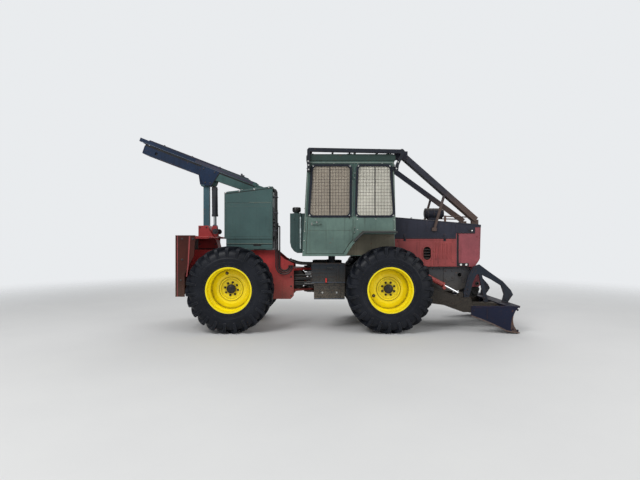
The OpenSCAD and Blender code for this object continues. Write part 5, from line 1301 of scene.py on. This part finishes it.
def add_housing_front():
    pipes = Piece("housing_pipes", "hose", "rear_body")
    for i in range(5):
        y = -0.452 + i * 0.029
        x = -0.612 + 0.02 * (i % 2)
        top = house_top(-0.653) - 0.04 - 0.02 * (i % 3)
        low = 1.56 + 0.018 * i
        path = ((-0.652, low), (x - 0.018, low + 0.006), (x, low + 0.03), (x + 0.004, 1.8),
                (x, 2.0), (x + 0.003, 2.2), (x, top - 0.04), (x - 0.015, top - 0.01), (-0.652, top))
        pipes.tube([at(along, y, z) for along, z in path], 0.0135, 14)
    pipes.done(smooth=60)
    clamps = Piece("pipe_clamps", "steel", "rear_body")
    for z in (1.74, 2.06, 2.35):
        clamps.box(at(-0.654, -0.476, z), at(-0.574, -0.312, z + 0.026))
        for y in (-0.467, -0.321):
            clamps.bolt(at(-0.574, y, z + 0.013), (1, 0, 0), 0.008)
    clamps.box(at(-0.6535, -0.47, 1.43), at(-0.646, 0.47, 2.18))
    clamps.done(bevel=0.003)
    lid = Piece("housing_lid", "housing", "rear_body")
    slope = Matrix.Rotation(-math.atan2(0.105, 0.867), 3, "Y")
    for y0, y1 in ((-0.47, -0.19), (0.19, 0.47)):
        middle = at(-1.085, (y0 + y1) / 2, house_top(-1.085) + 0.002)
        half = Vector((0.4, (y1 - y0) / 2, 0.006))
        lid.box(middle - half, middle + half, slope)
    lid.done(bevel=0.003)
    lid_bolts = Piece("housing_lid_bolts", "zinc", "rear_body")
    for x in (-1.45, -1.21, -0.96, -0.72):
        for y in (-0.45, -0.21, 0.21, 0.45):
            lid_bolts.bolt(at(x, y, house_top(x) + 0.0085), (-0.12, 0, 1), 0.009)
    lid_bolts.done(bevel=0.0007)


# Boom

BOOM_SLOPE = math.radians(20.3)
BOOM_PIVOT = (-0.91, 2.5)


def on_boom(sign, half=BEAM_HALF):
    """Places (back along the beam, up, out) on the boom's side."""
    cos, sin = math.cos(BOOM_SLOPE), math.sin(BOOM_SLOPE)
    return lambda u, v, w: at(BOOM_PIVOT[0] - u * cos + v * sin, sign * (half + w), BOOM_PIVOT[1]
                              + u * sin + v * cos)


def rail_low(u):
    return 0.046 + (u - 0.118) * 0.044 / 2.357


def add_boom_side(side, sign):
    beam, rail = on_boom(sign), on_boom(sign, BOOM_RAIL_HALF)
    out = Vector((0, sign, 0))
    # Pale line along the rail's lower edge: painted highlight.
    line = Piece(f"boom_rail_line_{side}", "rail_line", "boom_body", slot="navy_paint")
    line.plate(band(rail_low, 0.64, 2.468, 0.003, 0.009), rail, -0.001, 0.002)
    line.done(bevel=0.0008)
    # Near-black strips under the rail, along the gusset's edge and near the tip: painted shade.
    shade_strip = Piece(f"boom_shade_strip_{side}", "shade", "boom_body", slot="navy_paint")
    shade_strip.plate([(0.15, rail_low(0.15) - 0.022), (2.345, rail_low(2.345) - 0.04),
                  (2.345, rail_low(2.345) - 0.001), (0.15, rail_low(0.15) - 0.001)], beam, -0.001,
                 0.0014)
    shade_strip.plate([(0.842, 0.066), (0.905, -0.224), (0.918, -0.229), (0.855, 0.066)], beam, -0.001,
                 0.0085)
    shade_strip.strips(on_boom(sign, 0.0855), (2.068, -0.054, 2.122, 0.0, 0.001))
    shade_strip.done()
    strip = Piece(f"boom_rail_strip_{side}", "boom_rail", "boom_body")
    strip.plate([(0.19, rail_low(0.19) + 0.014), (1.36, rail_low(1.36) + 0.014),
                 (1.35, rail_low(1.36) + 0.06), (0.19, rail_low(0.19) + 0.06)], rail, -0.001, 0.003)
    pipe = ((0.3, 0.086), (0.8, 0.084), (1.4, 0.084), (2.3, 0.08))
    strip.tube([rail(u, rail_low(u) + rise, -0.014) for u, rise in pipe], 0.01, 10)
    strip.done(bevel=0.001)
    plate = Piece(f"boom_gusset_{side}", "slate", "boom_body")
    plate.plate([(0.918, -0.228), (1.044, -0.27), (1.19, -0.124), (1.214, 0.06), (0.855, 0.066)],
                beam, -0.001, 0.008)
    plate.plate([(2.332, -0.1), (2.349, -0.098), (2.352, 0.046), (2.334, 0.048)], beam, -0.001,
                0.006)
    plate.plate([(1.56, -0.108), (2.05, -0.106), (2.05, -0.09), (1.56, -0.092)], beam, -0.001,
                0.004)
    plate.done(bevel=0.002)
    fittings = Piece(f"boom_bolts_{side}", "frame", "boom_body")
    fittings.bolt_set(beam, ((0.94, 0.03), (1.16, 0.02), (0.95, -0.19), (1.04, -0.215)), 0.0082,
                      out, 0.012)
    fittings.box(rail(0.42, 0.13, -0.036), rail(0.47, 0.176, 0.004))
    for u in (0.86, 1.42, 1.98):
        low = rail_low(u)
        fittings.box(rail(u, low + 0.068, -0.03), rail(u + 0.03, low + 0.098, 0.003))
    fittings.weld(beam(1.4, -0.1135, 0.002), beam(2.3, -0.106, 0.002), 0.004, 60)
    fittings.done(bevel=0.0015)


def add_boom_tip():
    tip = Piece("boom_tip_sheave", "bare", "boom_body")
    place = on_boom(1, 0)
    tip.lathe([(0.02, -0.03), (0.062, -0.03), (0.062, -0.022), (0.04, -0.008), (0.04, 0.008),
               (0.062, 0.022), (0.062, 0.03), (0.02, 0.03)], place(2.27, 0.092, 0), (0, 1, 0), 40)
    tip.rod(place(2.27, 0.092, -0.118), place(2.27, 0.092, 0.118), 0.016, 20)
    tip.done(bevel=0.0015)
    cheeks = Piece("boom_tip_cheeks", "slate", "boom_body")
    for sign in (-1, 1):
        face = on_boom(sign, 0.034)
        cheeks.plate([(2.2, 0.03), (2.32, 0.03), (2.34, 0.09), (2.3, 0.15), (2.22, 0.14)], face, 0,
                     0.01)
    cheeks.done(bevel=0.002)


# Pedestal, shield and shelf

def add_rear_details(side, sign):
    out = Vector((0, sign, 0))
    wing, pillar = on_flank(sign, WING_HALF), on_flank(sign, PEDESTAL_HALF)
    shield = Piece(f"shield_folds_{side}", "panel_red", "rear_body")
    shield.plate([(-2.016, 1.648), (-2.04, 1.15), (-2.066, 0.96), (-2.044, 0.96), (-2.018, 1.15),
                  (-1.992, 1.648)], wing, -0.001, 0.005)
    shield.strips(wing, (-2.214, 0.622, -2.202, 1.658, 0.005))
    shield.done(bevel=0.002)
    fittings = Piece(f"shield_bolts_{side}", "steel", "rear_body")
    fittings.bolt_set(wing, ((-2.13, 1.6), (-2.13, 1.25), (-2.15, 0.9), (-1.95, 1.6)), SEAT, out,
                      0.014)
    fittings.weld(wing(-2.2, 0.64, 0.001), wing(-2.2, 1.64, 0.001), 0.006, 60)
    side_plate = on_flank(sign, REAR_FRAME_HALF)
    fittings.bolts(side_plate(-1.5, 0.905, SEAT), side_plate(-1.16, 0.905, SEAT), 4, out, 0.016)
    fittings.bolts(side_plate(-0.33, 0.56, SEAT), side_plate(-0.33, 1.08, SEAT), 4, out, 0.012)
    drum_bolts = [(-1.12 + 0.062 * cos, 1.165 + 0.062 * sin) for cos, sin in circle(8)]
    fittings.bolt_set(side_plate, drum_bolts, 0.0252, out, 0.0075, washer=False)
    fittings.done(bevel=0.0008)
    edge = Piece(f"shelf_edge_{side}", "rear_red", "rear_body")
    edge.tube([at(-1.698, sign * 0.16, 1.622), at(-1.698, sign * 0.976, 1.622)], 0.014, 12)
    edge.tube([at(x, sign * 0.992, 1.632) for x in (-2.19, -1.7)], 0.008, 10)
    edge.done(smooth=60)
    pedestal = Piece(f"pedestal_sheave_{side}", "steel", "rear_body")
    pedestal.lathe([(0.018, 0.0), (0.052, 0.0), (0.052, 0.006), (0.04, 0.014), (0.052, 0.022),
                    (0.052, 0.028), (0.022, 0.028), (0.022, 0.04), (0, 0.04)],
                   at(-1.76, sign * 0.1502, 1.74), out, 32)
    pedestal.strips(pillar, (-2.075, 1.41, -1.72, 1.424, 0.012), low=0)
    pedestal.bolt_set(pillar, ((-2.05, 1.815), (-1.93, 1.815), (-2.05, 1.5), (-1.76, 1.5)), SEAT,
                      out, 0.011)
    pedestal.weld(at(-2.012, sign * 0.045, 1.851), at(-1.902, sign * 0.045, 1.851), 0.006, 9)
    pedestal.done(bevel=0.001)


for side, sign in SIDES:
    add_step_details(side, sign)
    add_housing_side(side, sign)
    add_boom_side(side, sign)
    add_rear_details(side, sign)
add_tank_details()
add_housing_front()
add_boom_tip()


# Blade, push arms and cylinders

# Axis of the blade's hollow (x, z) and its radius
BLADE_HOLLOW = (3.725, 0.236, 0.2807)
BLADE_BACK = 3.452


def blade_arc(radius, low, high, count=7):
    """Points on the blade's hollow between two heights."""
    x, z, _ = BLADE_HOLLOW
    points = []
    for i in range(count):
        height = low + (high - low) * i / (count - 1)
        points.append((x - math.sqrt(radius ** 2 - (height - z) ** 2), height))
    return points


def add_blade_details():
    radius = BLADE_HOLLOW[2]
    edge = Piece("blade_edge", "wear_edge", "blade_body")
    edge.plate(blade_arc(radius + 0.001, 0.014, 0.112) + blade_arc(radius - 0.011, 0.112, 0.03),
               across, -1.027, 1.027)
    edge.done(bevel=0.002)
    rust = Piece("blade_corner_rust", "rusty", "blade_body", slot="navy_paint")
    for _, sign in SIDES:
        rust.plate([(3.432, 0.29), (3.412, 0.18), (3.408, 0.09), (3.432, 0.036), (3.5, 0.0135)]
                   + blade_arc(radius, 0.0135, 0.29, 9), on_flank(sign, BLADE_HALF), -0.001, 0.0012)
    rust.done()
    bolts = Piece("blade_edge_bolts", "frame", "blade_body", slot="navy_paint")
    for i in range(11):
        x, z = blade_arc(radius - 0.011, 0.07, 0.071, 2)[0]
        bolts.bolt(at(x, -0.95 + i * 0.19, z), (BLADE_HOLLOW[0] - x, 0, BLADE_HOLLOW[1] - z), 0.013,
                   washer=False)
    bolts.done(bevel=0.001)
    back = Piece("blade_back_rails", "blade", "blade_body")
    for low, high in ((0.345, 0.385), (0.11, 0.15)):
        back.box(at(3.392, -1.026, low), at(BLADE_BACK, 1.026, high))
    for y in (-0.9, -0.33, 0.0, 0.33, 0.9):
        back.plate([(3.385, 0.445), (3.35, 0.42), (3.375, 0.13), (3.445, 0.11), (3.428, 0.236),
                    (3.445, 0.36)], lambda u, v, w, y=y: at(u, y + w, v), -0.008, 0.008)
    back.done(bevel=0.002)


def add_blade_side(side, sign):
    out = Vector((0, sign, 0))
    cheek, arm, horn = (on_flank(sign, half) for half in (BLADE_HALF, ARM_HALF, HORN_HALF))
    worn = Piece(f"cheek_wear_{side}", "wear_edge", "blade_body")
    worn.plate([(2.742, 0.302), (2.94, 0.227), (3.1, 0.161), (3.33, 0.046), (3.5, 0.0135),
                (3.558, 0.0135), (3.5585, 0.028), (3.502, 0.029), (3.336, 0.062), (3.106, 0.177),
                (2.946, 0.242), (2.742, 0.318)], cheek, -0.001, 0.002)
    worn.done(bevel=0.001)
    trim = Piece(f"cheek_trim_{side}", "blade", "blade_body")
    trim.strips(cheek, (2.745, 0.44, 3.56, 0.468, 0.004), (3.0, 0.236, 3.016, 0.436, 0.003))
    trim.bolt_set(cheek, ((3.52, 0.058), (3.44, 0.082), (3.52, 0.405), (2.79, 0.395)), SEAT, out,
                  0.013)
    trim.weld(at(3.3, sign * 1.027, 0.468), at(2.78, sign * 1.027, 0.468), 0.005)
    trim.done(bevel=0.0012)
    arms = Piece(f"arm_fittings_{side}", "arm", "blade_body")
    arms.plate([(2.02, 0.56), (2.64, 0.452), (2.64, 0.396), (2.02, 0.476)], arm, -0.001, 0.006)
    arms.plate([(1.9, 0.84), (2.64, 0.59), (2.64, 0.574), (1.9, 0.822)], arm, -0.001, 0.005)
    arms.weld(arm(2.66, 0.556, 0.001), arm(2.86, 0.556, 0.001), 0.005, 9)
    arms.weld(arm(3.3, 0.305, 0.001), arm(3.405, 0.305, 0.001), 0.005, 7)
    arms.bolt_set(arm, ((2.06, 0.53), (2.32, 0.482), (2.6, 0.43)), 0.0062, out, 0.013)
    arms.done(bevel=0.0015)
    horns = Piece(f"horn_fittings_{side}", "horn", "blade_body")
    horns.plate([(2.8, 0.64), (2.882, 0.942), (2.96, 1.07), (3.036, 1.1), (3.03, 1.112),
                 (2.95, 1.083), (2.87, 0.948), (2.788, 0.642)], horn, -0.001, 0.003)
    horns.plate([(3.56, 0.64), (3.6, 0.612), (3.608, 0.6), (3.56, 0.5), (3.545, 0.5),
                 (3.588, 0.606)], horn, -0.001, 0.003)
    horns.bolt_set(horn, ((2.812, 0.61), (2.835, 0.7), (3.5, 0.52), (3.13, 0.54)), SEAT, out, 0.014)
    horns.weld(at(3.38, sign * 0.587, 0.474), at(3.55, sign * 0.587, 0.474), 0.006)
    horns.done(bevel=0.0012)
    pins = Piece(f"blade_pin_caps_{side}", "bare")
    pins.lathe([(0.03, 0.0), (0.03, 0.006), (0.012, 0.01), (0.0, 0.01)],
               at(1.75, sign * 0.6338, 0.78), out, 24)
    pins.lathe([(0.004, 0.0), (0.004, 0.008), (0.006, 0.01), (0.003, 0.016)],
               at(1.75, sign * 0.643, 0.78), out, 10)
    pins.lathe([(0.017, 0.0), (0.017, 0.004), (0.005, 0.008)], at(1.89, sign * 0.604, 1.05), out,
               20)
    pins.done()


def add_gland(name, body, start, end, along, radius, finish, port):
    """Rings on a barrel's mouth and foot, with an elbow and a short pipe on its flank."""
    start, end, port = Vector(start), Vector(end), Vector(port).normalized()
    axis = (end - start).normalized()
    piece = Piece(name, finish, body)
    piece.lathe([(radius - 0.002, -0.04), (radius + 0.005, -0.038), (radius + 0.005, -0.006),
                 (radius + 0.002, 0.0), (radius - 0.004, 0.0)], start + axis * along, axis, 32)
    piece.lathe([(radius - 0.002, 0.0), (radius + 0.004, 0.004), (radius + 0.004, 0.02),
                 (radius - 0.002, 0.024)], start + axis * (along * 0.16), axis, 32)
    for reach in (0.2, 0.9):
        foot = start + axis * (along * reach) + port * (radius - 0.003)
        piece.lathe([(0.014, 0.0), (0.014, 0.012), (0.01, 0.016), (0.01, 0.024)], foot, port, 14)
    lift = radius + 0.018
    piece.tube([start + axis * (along * reach) + port * lift for reach in (0.205, 0.35, 0.55, 0.75,
                                                                           0.895)], 0.006, 10)
    for reach in (0.42, 0.68):
        middle = start + axis * (along * reach)
        piece.hoop(middle, axis, radius + 0.001, 0.004, 32, 6)
    piece.done(bevel=0.0008)


def add_blade_cylinder(side, sign):
    start, end = at(1.89, sign * 0.56, 1.05), at(2.7, sign * 0.56, 0.62)
    add_gland(f"blade_gland_{side}", f"blade_{side}_cylinder", start, end, 0.59, 0.044,
              "cylinder_red", (0, sign, -0.4))
    disc = Piece(f"blade_valve_{side}", "cylinder_red", f"blade_{side}_cylinder")
    disc.box(at(2.382, sign * 0.598, 0.728), at(2.412, sign * 0.64, 0.782))
    disc.lathe([(0.03, 0.0), (0.032, 0.003), (0.032, 0.014), (0.028, 0.018), (0.0, 0.018)],
               at(2.397, sign * 0.627, 0.735), (0, sign, 0), 28)
    disc.done(bevel=0.0015)


for side, sign in SIDES:
    add_blade_side(side, sign)
    add_blade_cylinder(side, sign)
    add_gland(f"steer_gland_{side}", f"steer_{side}_cylinder", at(0.6, sign * 0.2, 0.85),
              at(-0.1, sign * 0.15, 0.85), 0.43, 0.04, "steel", (0, 0, -1))
add_gland("boom_gland", "boom_cylinder", at(-1.8081, 0, 2.6488), at(-1.8, 0, 1.83), 0.62, 0.055,
          "steel", (0, 1, 0))
add_blade_details()


# Hoses that cross the hinge, on a bulkhead at each end

UPPER_HOSE_Y = (-0.27, -0.215, -0.16, 0.16, 0.215)
UPPER_HOSE_PATH = (
    (-0.362, 1.196), (-0.32, 1.19), (-0.27, 1.172), (-0.22, 1.156), (-0.17, 1.147), (-0.127, 1.143),
    (-0.085, 1.141), (-0.042, 1.14), (0, 1.14), (0.042, 1.14), (0.085, 1.141), (0.127, 1.143),
    (0.17, 1.147), (0.22, 1.156), (0.28, 1.172), (0.34, 1.19), (0.398, 1.196),
)
# Side and height of the hoses beside the hinge, and the places along them
SIDE_HOSES = ((-1, 0.935), (-1, 0.893), (-1, 0.851), (-1, 0.809), (-1, 0.767), (1, 0.92), (1, 0.85),
              (1, 0.78))
SIDE_HOSE_X = (-0.3, -0.26, -0.215, -0.17, -0.127, -0.085, -0.042, 0, 0.042, 0.085, 0.127, 0.17,
               0.215, 0.26, 0.318)


def add_hinge_hoses():
    """Two bundles of hoses that bend between the frames, their bulkheads, webs and anchors."""
    for i, y in enumerate(UPPER_HOSE_Y):
        sag = 0.006 * (i % 3)
        hose = Piece(f"hinge_hose_{i + 1}", "hose", None)
        hose.tube([at(x, y + 0.012 * math.sin(x * 9 + i), z - sag) for x, z in UPPER_HOSE_PATH],
                  0.0165, 14)
        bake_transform(hose.done(smooth=60))
    for i, (sign, height) in enumerate(SIDE_HOSES):
        sag = 0.012 * math.sin(i * 2.3)
        hose = Piece(f"side_hose_{i + 1}", "hose", None)
        hose.tube([at(x, sign * (0.292 + 0.006 * (i % 2)), height - sag * math.cos(x * 5))
                   for x in SIDE_HOSE_X], 0.0175, 14)
        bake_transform(hose.done(smooth=60))
    # The webs are red paint; the near-black finish they take is painted shade.
    webs = Piece("hinge_webs", "arm", "rear_body", slot="red_paint")
    anchor = Piece("side_hose_anchor", "steel")
    for sign in (-1, 1):
        webs.plate([(-0.29, 0.679), (-0.162, 0.679), (-0.088, 0.76), (-0.088, 0.94),
                    (-0.162, 1.021), (-0.29, 1.021)], on_flank(sign, 0.236), 0, 0.014)
        webs.box(at(-0.305, sign * 0.236, 0.7), at(-0.29, sign * 0.34, 1.0))
        anchor.box(at(0.306, sign * 0.262, 0.735), at(0.32, sign * 0.405, 0.965))
    webs.done(bevel=0.002)
    anchor.done(bevel=0.002)
    for body, x, front, face, half, low in (("rear_body", -0.374, -0.362, 1, 0.334, 1.15),
                                            ("front_body", 0.398, 0.398, -1, 0.3, 1.0925)):
        plate = Piece(f"hose_bulkhead_{body}", "steel", body)
        plate.box(at(x, -half, low), at(x + 0.012, half, 1.226))
        for y in UPPER_HOSE_Y:
            plate.lathe([(0.0215, -0.004), (0.0215, 0.014), (0.019, 0.018), (0.019, 0.04)],
                        at(front, y, 1.19), (face, 0, 0), 6)
        plate.bolts(at(front, -0.09, 1.2), at(front, 0.09, 1.2), 3, (face, 0, 0), 0.01)
        plate.done(bevel=0.002)
    caps = Piece("hinge_pin_caps", "bare")
    caps.lathe([(0.034, 0.0), (0.034, 0.006), (0.008, 0.009), (0.008, 0.018), (0.0, 0.02)],
               at(0, 0, 1.1048), (0, 0, 1), 24)
    caps.done(bevel=0.001)


add_hinge_hoses()


# Seat and console

FLOOR_Z = 1.3403


def pillow(name, width, depth, height, channels):
    """Slightly slack, crowned cushion about its own middle, with sewn channels across its face."""
    form = bmesh.new()
    cells, rows = 36, 28
    top, low = [], []
    for j in range(rows + 1):
        v = j / rows * 2 - 1
        for i in range(cells + 1):
            u = i / cells * 2 - 1
            edge = (1 - abs(u) ** 6) * (1 - abs(v) ** 6)
            pull = 1 - 0.018 * math.cos(u * math.pi / 2) - 0.018 * math.cos(v * math.pi / 2)
            sewn = sum(math.exp(-((u - c) / 0.035) ** 2) for c in channels)
            x, y = v * depth / 2 * pull, u * width / 2 * pull
            rise = height * 0.5 * max(0.0, edge) ** 0.4
            top.append(form.verts.new((x, y, rise * (0.86 - 0.16 * sewn) + 0.004)))
            low.append(form.verts.new((x, y, -rise * 0.94 - 0.004)))
    wide = cells + 1
    for j in range(rows):
        for i in range(cells):
            a, b, c, d = j * wide + i, j * wide + i + 1, (j + 1) * wide + i + 1, (j + 1) * wide + i
            form.faces.new((top[a], top[b], top[c], top[d]))
            form.faces.new((low[d], low[c], low[b], low[a]))
    rim = ([i for i in range(wide)] + [(j + 1) * wide - 1 for j in range(1, rows + 1)]
           + [rows * wide + i for i in range(cells - 1, -1, -1)]
           + [j * wide for j in range(rows - 1, 0, -1)])
    for a, b in zip(rim, rim[1:] + rim[:1]):
        form.faces.new((top[b], top[a], low[a], low[b]))
    bmesh.ops.recalc_face_normals(form, faces=form.faces)
    mesh = bpy.data.meshes.new(name)
    form.to_mesh(mesh)
    form.free()
    thing = bpy.data.objects.new(name, mesh)
    bpy.context.scene.collection.objects.link(thing)
    return thing


def bake(thing):
    """Replaces an object's mesh with what its modifiers make of it."""
    graph = bpy.context.evaluated_depsgraph_get()
    mesh = bpy.data.meshes.new_from_object(thing.evaluated_get(graph))
    thing.modifiers.clear()
    old, thing.data = thing.data, mesh
    bpy.data.meshes.remove(old)


def inflate(thing, channels, width, cap=0.022):
    """Swells the cushion with a cloth simulation held at its back and along its sewn channels."""
    scene = bpy.context.scene
    grid = thing.modifiers.new("grid", "REMESH")
    grid.mode = "VOXEL"
    grid.voxel_size = 0.006
    bake(thing)
    held = thing.vertex_groups.new(name="held")
    start = [vertex.co.copy() for vertex in thing.data.vertices]
    for vertex in thing.data.vertices:
        u = vertex.co.y / (width / 2)
        sewn = max((math.exp(-((u - c) / 0.035) ** 2) for c in channels), default=0.0)
        weight = 1.0 if vertex.co.z < -0.03 else (sewn if vertex.co.z > 0 else 0.0)
        if weight > 0.05:
            held.add([vertex.index], min(1.0, weight), "REPLACE")
    cloth = thing.modifiers.new("cloth", "CLOTH")
    cloth.settings.quality = 4
    cloth.settings.mass = 0.3
    cloth.settings.use_pressure = True
    cloth.settings.uniform_pressure_force = 4.0
    cloth.settings.vertex_group_mass = "held"
    cloth.settings.effector_weights.gravity = 0.0
    cloth.point_cache.frame_start, cloth.point_cache.frame_end = 1, 20
    for step in range(1, 21):
        scene.frame_set(step)
    bake(thing)
    for vertex, before in zip(thing.data.vertices, start):
        moved = vertex.co - before
        if moved.length > cap:
            vertex.co = before + moved * (cap / moved.length)
    scene.frame_set(1)


def add_cushion(name, width, depth, height, middle, tilt, channels):
    """Cushion of that size, tilted about its middle, with a sewn channel at each share of u."""
    thing = pillow(name, width, depth, height, channels)
    inflate(thing, channels, width)
    reach = [max(abs(vertex.co[axis]) for vertex in thing.data.vertices) for axis in range(3)]
    fit = Matrix.Diagonal((min(1, depth / 2 / reach[0]), min(1, width / 2 / reach[1]),
                           min(1, height / 2 / reach[2])))
    turn = Matrix.Rotation(tilt, 3, "Y")
    for vertex in thing.data.vertices:
        vertex.co = middle + turn @ (fit @ vertex.co)
    thing.data.materials.clear()
    thing.data.materials.append(MATERIAL["vinyl"])
    thing.data.shade_smooth()
    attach(thing, "front_body")
    return thing


def add_seat():
    base = Piece("seat_base", "steel")
    base.box(at(0.44, -0.17, FLOOR_Z + 0.0005), at(0.75, 0.17, FLOOR_Z + 0.03))
    base.box(at(0.45, -0.16, FLOOR_Z + 0.285), at(0.745, 0.16, FLOOR_Z + 0.312))
    for y in (-0.178, 0.15):
        base.box(at(0.4, y, FLOOR_Z + 0.312), at(0.8, y + 0.028, FLOOR_Z + 0.334))
    base.box(at(0.372, -0.232, FLOOR_Z + 0.332), at(0.836, 0.232, FLOOR_Z + 0.346))
    for x in (0.46, 0.73):
        base.bolts(at(x, -0.15, FLOOR_Z + 0.03), at(x, 0.15, FLOOR_Z + 0.03), 2, (0, 0, 1))
    lever = [at(0.79, -0.17, FLOOR_Z + 0.322), at(0.81, -0.205, FLOOR_Z + 0.322),
             at(0.815, -0.24, FLOOR_Z + 0.32)]
    base.tube(lever, 0.006, 10)
    for sign in (-1, 1):
        base.plate([(0.344, FLOOR_Z + 0.334), (0.412, FLOOR_Z + 0.334), (0.372, FLOOR_Z + 0.56),
                    (0.332, FLOOR_Z + 0.56)], on_flank(sign, 0.225), 0, 0.008)
    base.done(bevel=0.003)
    boot = Piece("seat_boot", "seal")
    rings = []
    for i in range(15):
        swell = 0.15 if i % 2 else 0.132
        z = FLOOR_Z + 0.03 + i * 0.255 / 14
        outline = rounded(rect(-swell, -swell, swell, swell), 0.045)
        rings.append([at(0.597 + x, y, z) for x, y in outline])
    boot.skin(rings)
    boot.done(smooth=50)
    shell = Piece("seat_shell", "plastic")
    tilt = math.atan2(-0.11, 0.62)
    turn = Matrix.Rotation(tilt, 3, "Y")
    shell.plate(rounded([(-0.31, -0.222), (-0.31, 0.222), (0.31, 0.205), (0.31, -0.205)], 0.06),
                lambda u, v, w: at(0.3, 0, FLOOR_Z + 0.713) + turn @ Vector((w, v, u)), -0.046,
                -0.026)
    shell.done(bevel=0.006)
    cushion = add_cushion("seat_cushion", 0.488, 0.462, 0.116, at(0.603, 0, FLOOR_Z + 0.406),
                          math.radians(-1.5), (-0.62, 0.62))
    add_cushion("seat_back", 0.462, 0.585, 0.08, at(0.352, 0, FLOOR_Z + 0.73),
                math.pi / 2 + tilt, (-0.62, 0.62))
    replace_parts(cushion, "seat")


def add_console_details():
    panel = Piece("dash_panel", "plastic")
    panel.box(at(1.19, -0.21, FLOOR_Z + 0.622), at(1.4, 0.21, FLOOR_Z + 0.65))
    panel.tube([at(1.228, 0.0, FLOOR_Z + 0.545), at(1.196, 0, FLOOR_Z + 0.603),
                at(1.175, 0, FLOOR_Z + 0.64)], 0.036, 20)
    panel.lathe([(0.045, 0.0), (0.045, 0.01), (0.03, 0.022), (0.0, 0.024)],
                at(1.11, 0, FLOOR_Z + 0.765), (-0.47, 0, 0.88), 28)
    panel.done(bevel=0.004)
    rims = Piece("gauge_rims", "bare")
    faces = Piece("gauge_faces", "seal")
    ticks = Piece("gauge_ticks", "zinc", slot="black_plastic")
    for y in (-0.15, -0.055, 0.055, 0.15):
        middle = at(1.29, y, FLOOR_Z + 0.6505)
        rims.hoop(middle, (0, 0, 1), 0.034, 0.004, 28, 8)
        faces.lathe([(0.033, -0.001), (0.033, 0.001), (0, 0.001)], middle, (0, 0, 1), 28)
        for i in range(7):
            angle = math.radians(-120 + i * 40)
            spot = middle + Vector((math.cos(angle) * 0.026, math.sin(angle) * 0.026, 0.0014))
            ticks.box(spot - Vector((0.0026, 0.0008, 0.0006)),
                      spot + Vector((0.0026, 0.0008, 0.0006)), Matrix.Rotation(angle, 3, "Z"))
        ticks.rod(middle + Vector((0, 0, 0.0018)), middle + Vector((0.018, 0.008, 0.0018)), 0.0009,
                  6)
    rims.done()
    faces.done()
    ticks.done()
    levers = Piece("cab_levers", "steel")
    knobs = Piece("lever_knobs", "plastic")
    box_z = FLOOR_Z + 0.43
    levers.box(at(0.64, -0.42, FLOOR_Z), at(0.86, -0.32, box_z))
    levers.box(at(1.06, 0.1, FLOOR_Z), at(1.18, 0.18, FLOOR_Z + 0.02))
    levers.box(at(1.06, -0.18, FLOOR_Z), at(1.18, -0.1, FLOOR_Z + 0.02))
    for i in range(4):
        foot = at(0.67 + i * 0.052, -0.37, box_z - 0.004)
        top = foot + Vector((0.02 - i * 0.004, 0.006, 0.15))
        levers.rod(foot, top, 0.006, 10)
        knobs.lathe([(0.004, -0.018), (0.014, -0.01), (0.017, 0.004), (0.013, 0.016), (0.0, 0.02)],
                    top, (0.1, 0, 1), 18)
    levers.done(bevel=0.004)
    knobs.done(smooth=60)


add_seat()
add_console_details()


# Stage, lights and camera

def add_stage():
    """Pale floor that fades into the world's colour away from the machine."""
    floor_mesh = bpy.data.meshes.new("floor")
    reach = 16.0
    floor_mesh.from_pydata([(-reach, -reach, 0), (reach, -reach, 0), (reach, reach, 0),
                            (-reach, reach, 0)], [], [(0, 1, 2, 3)])
    floor = bpy.data.objects.new("floor", floor_mesh)
    bpy.context.scene.collection.objects.link(floor)
    s = Shader("floor_pale", roughness=0.85)
    tone = s.noise(0.8, 4, 0.6)
    distance = s.add("ShaderNodeVectorMath", {"operation": "LENGTH"})
    s.feed(distance.inputs[0], s.place)
    floor_mesh.materials.append(s.done(s.mix(tone, (0.66, 0.66, 0.66), (0.72, 0.72, 0.71)),
                                       alpha=s.steps(distance.outputs["Value"], 14.0, 6.0)))


def add_world():
    world = bpy.data.worlds.new("studio")
    bpy.context.scene.world = world
    world.use_nodes = True
    tree = world.node_tree
    background = tree.nodes["Background"]
    background.inputs["Color"].default_value = (0.86, 0.88, 0.9, 1)
    path = tree.nodes.new("ShaderNodeLightPath")
    seen = tree.nodes.new("ShaderNodeMath")
    seen.operation = "MAXIMUM"
    tree.links.new(path.outputs["Is Camera Ray"], seen.inputs[0])
    tree.links.new(path.outputs["Is Transmission Ray"], seen.inputs[1])
    strength = tree.nodes.new("ShaderNodeMapRange")
    strength.inputs["To Min"].default_value = 0.46
    strength.inputs["To Max"].default_value = 0.95
    tree.links.new(seen.outputs[0], strength.inputs["Value"])
    tree.links.new(strength.outputs["Result"], background.inputs["Strength"])


def add_light(name, place, target, size, power):
    data = bpy.data.lights.new(name, "AREA")
    data.shape = "SQUARE"
    data.size = size
    data.energy = power
    light = bpy.data.objects.new(name, data)
    light.location = place
    light.rotation_euler = (Vector(target) - Vector(place)).to_track_quat("-Z", "Y").to_euler()
    bpy.context.scene.collection.objects.link(light)


add_stage()
add_world()
add_light("key", (-6.0, -9.0, 9.5), (0, 0, 1.2), 6.0, 900)
add_light("fill", (8.0, -7.5, 5.0), (0, 0, 1.4), 7.0, 380)
add_light("back", (2.0, 9.0, 8.0), (0, 0, 1.4), 7.0, 520)
add_camera()
dress_nodes()
bpy.context.scene.view_settings.view_transform = "Standard"
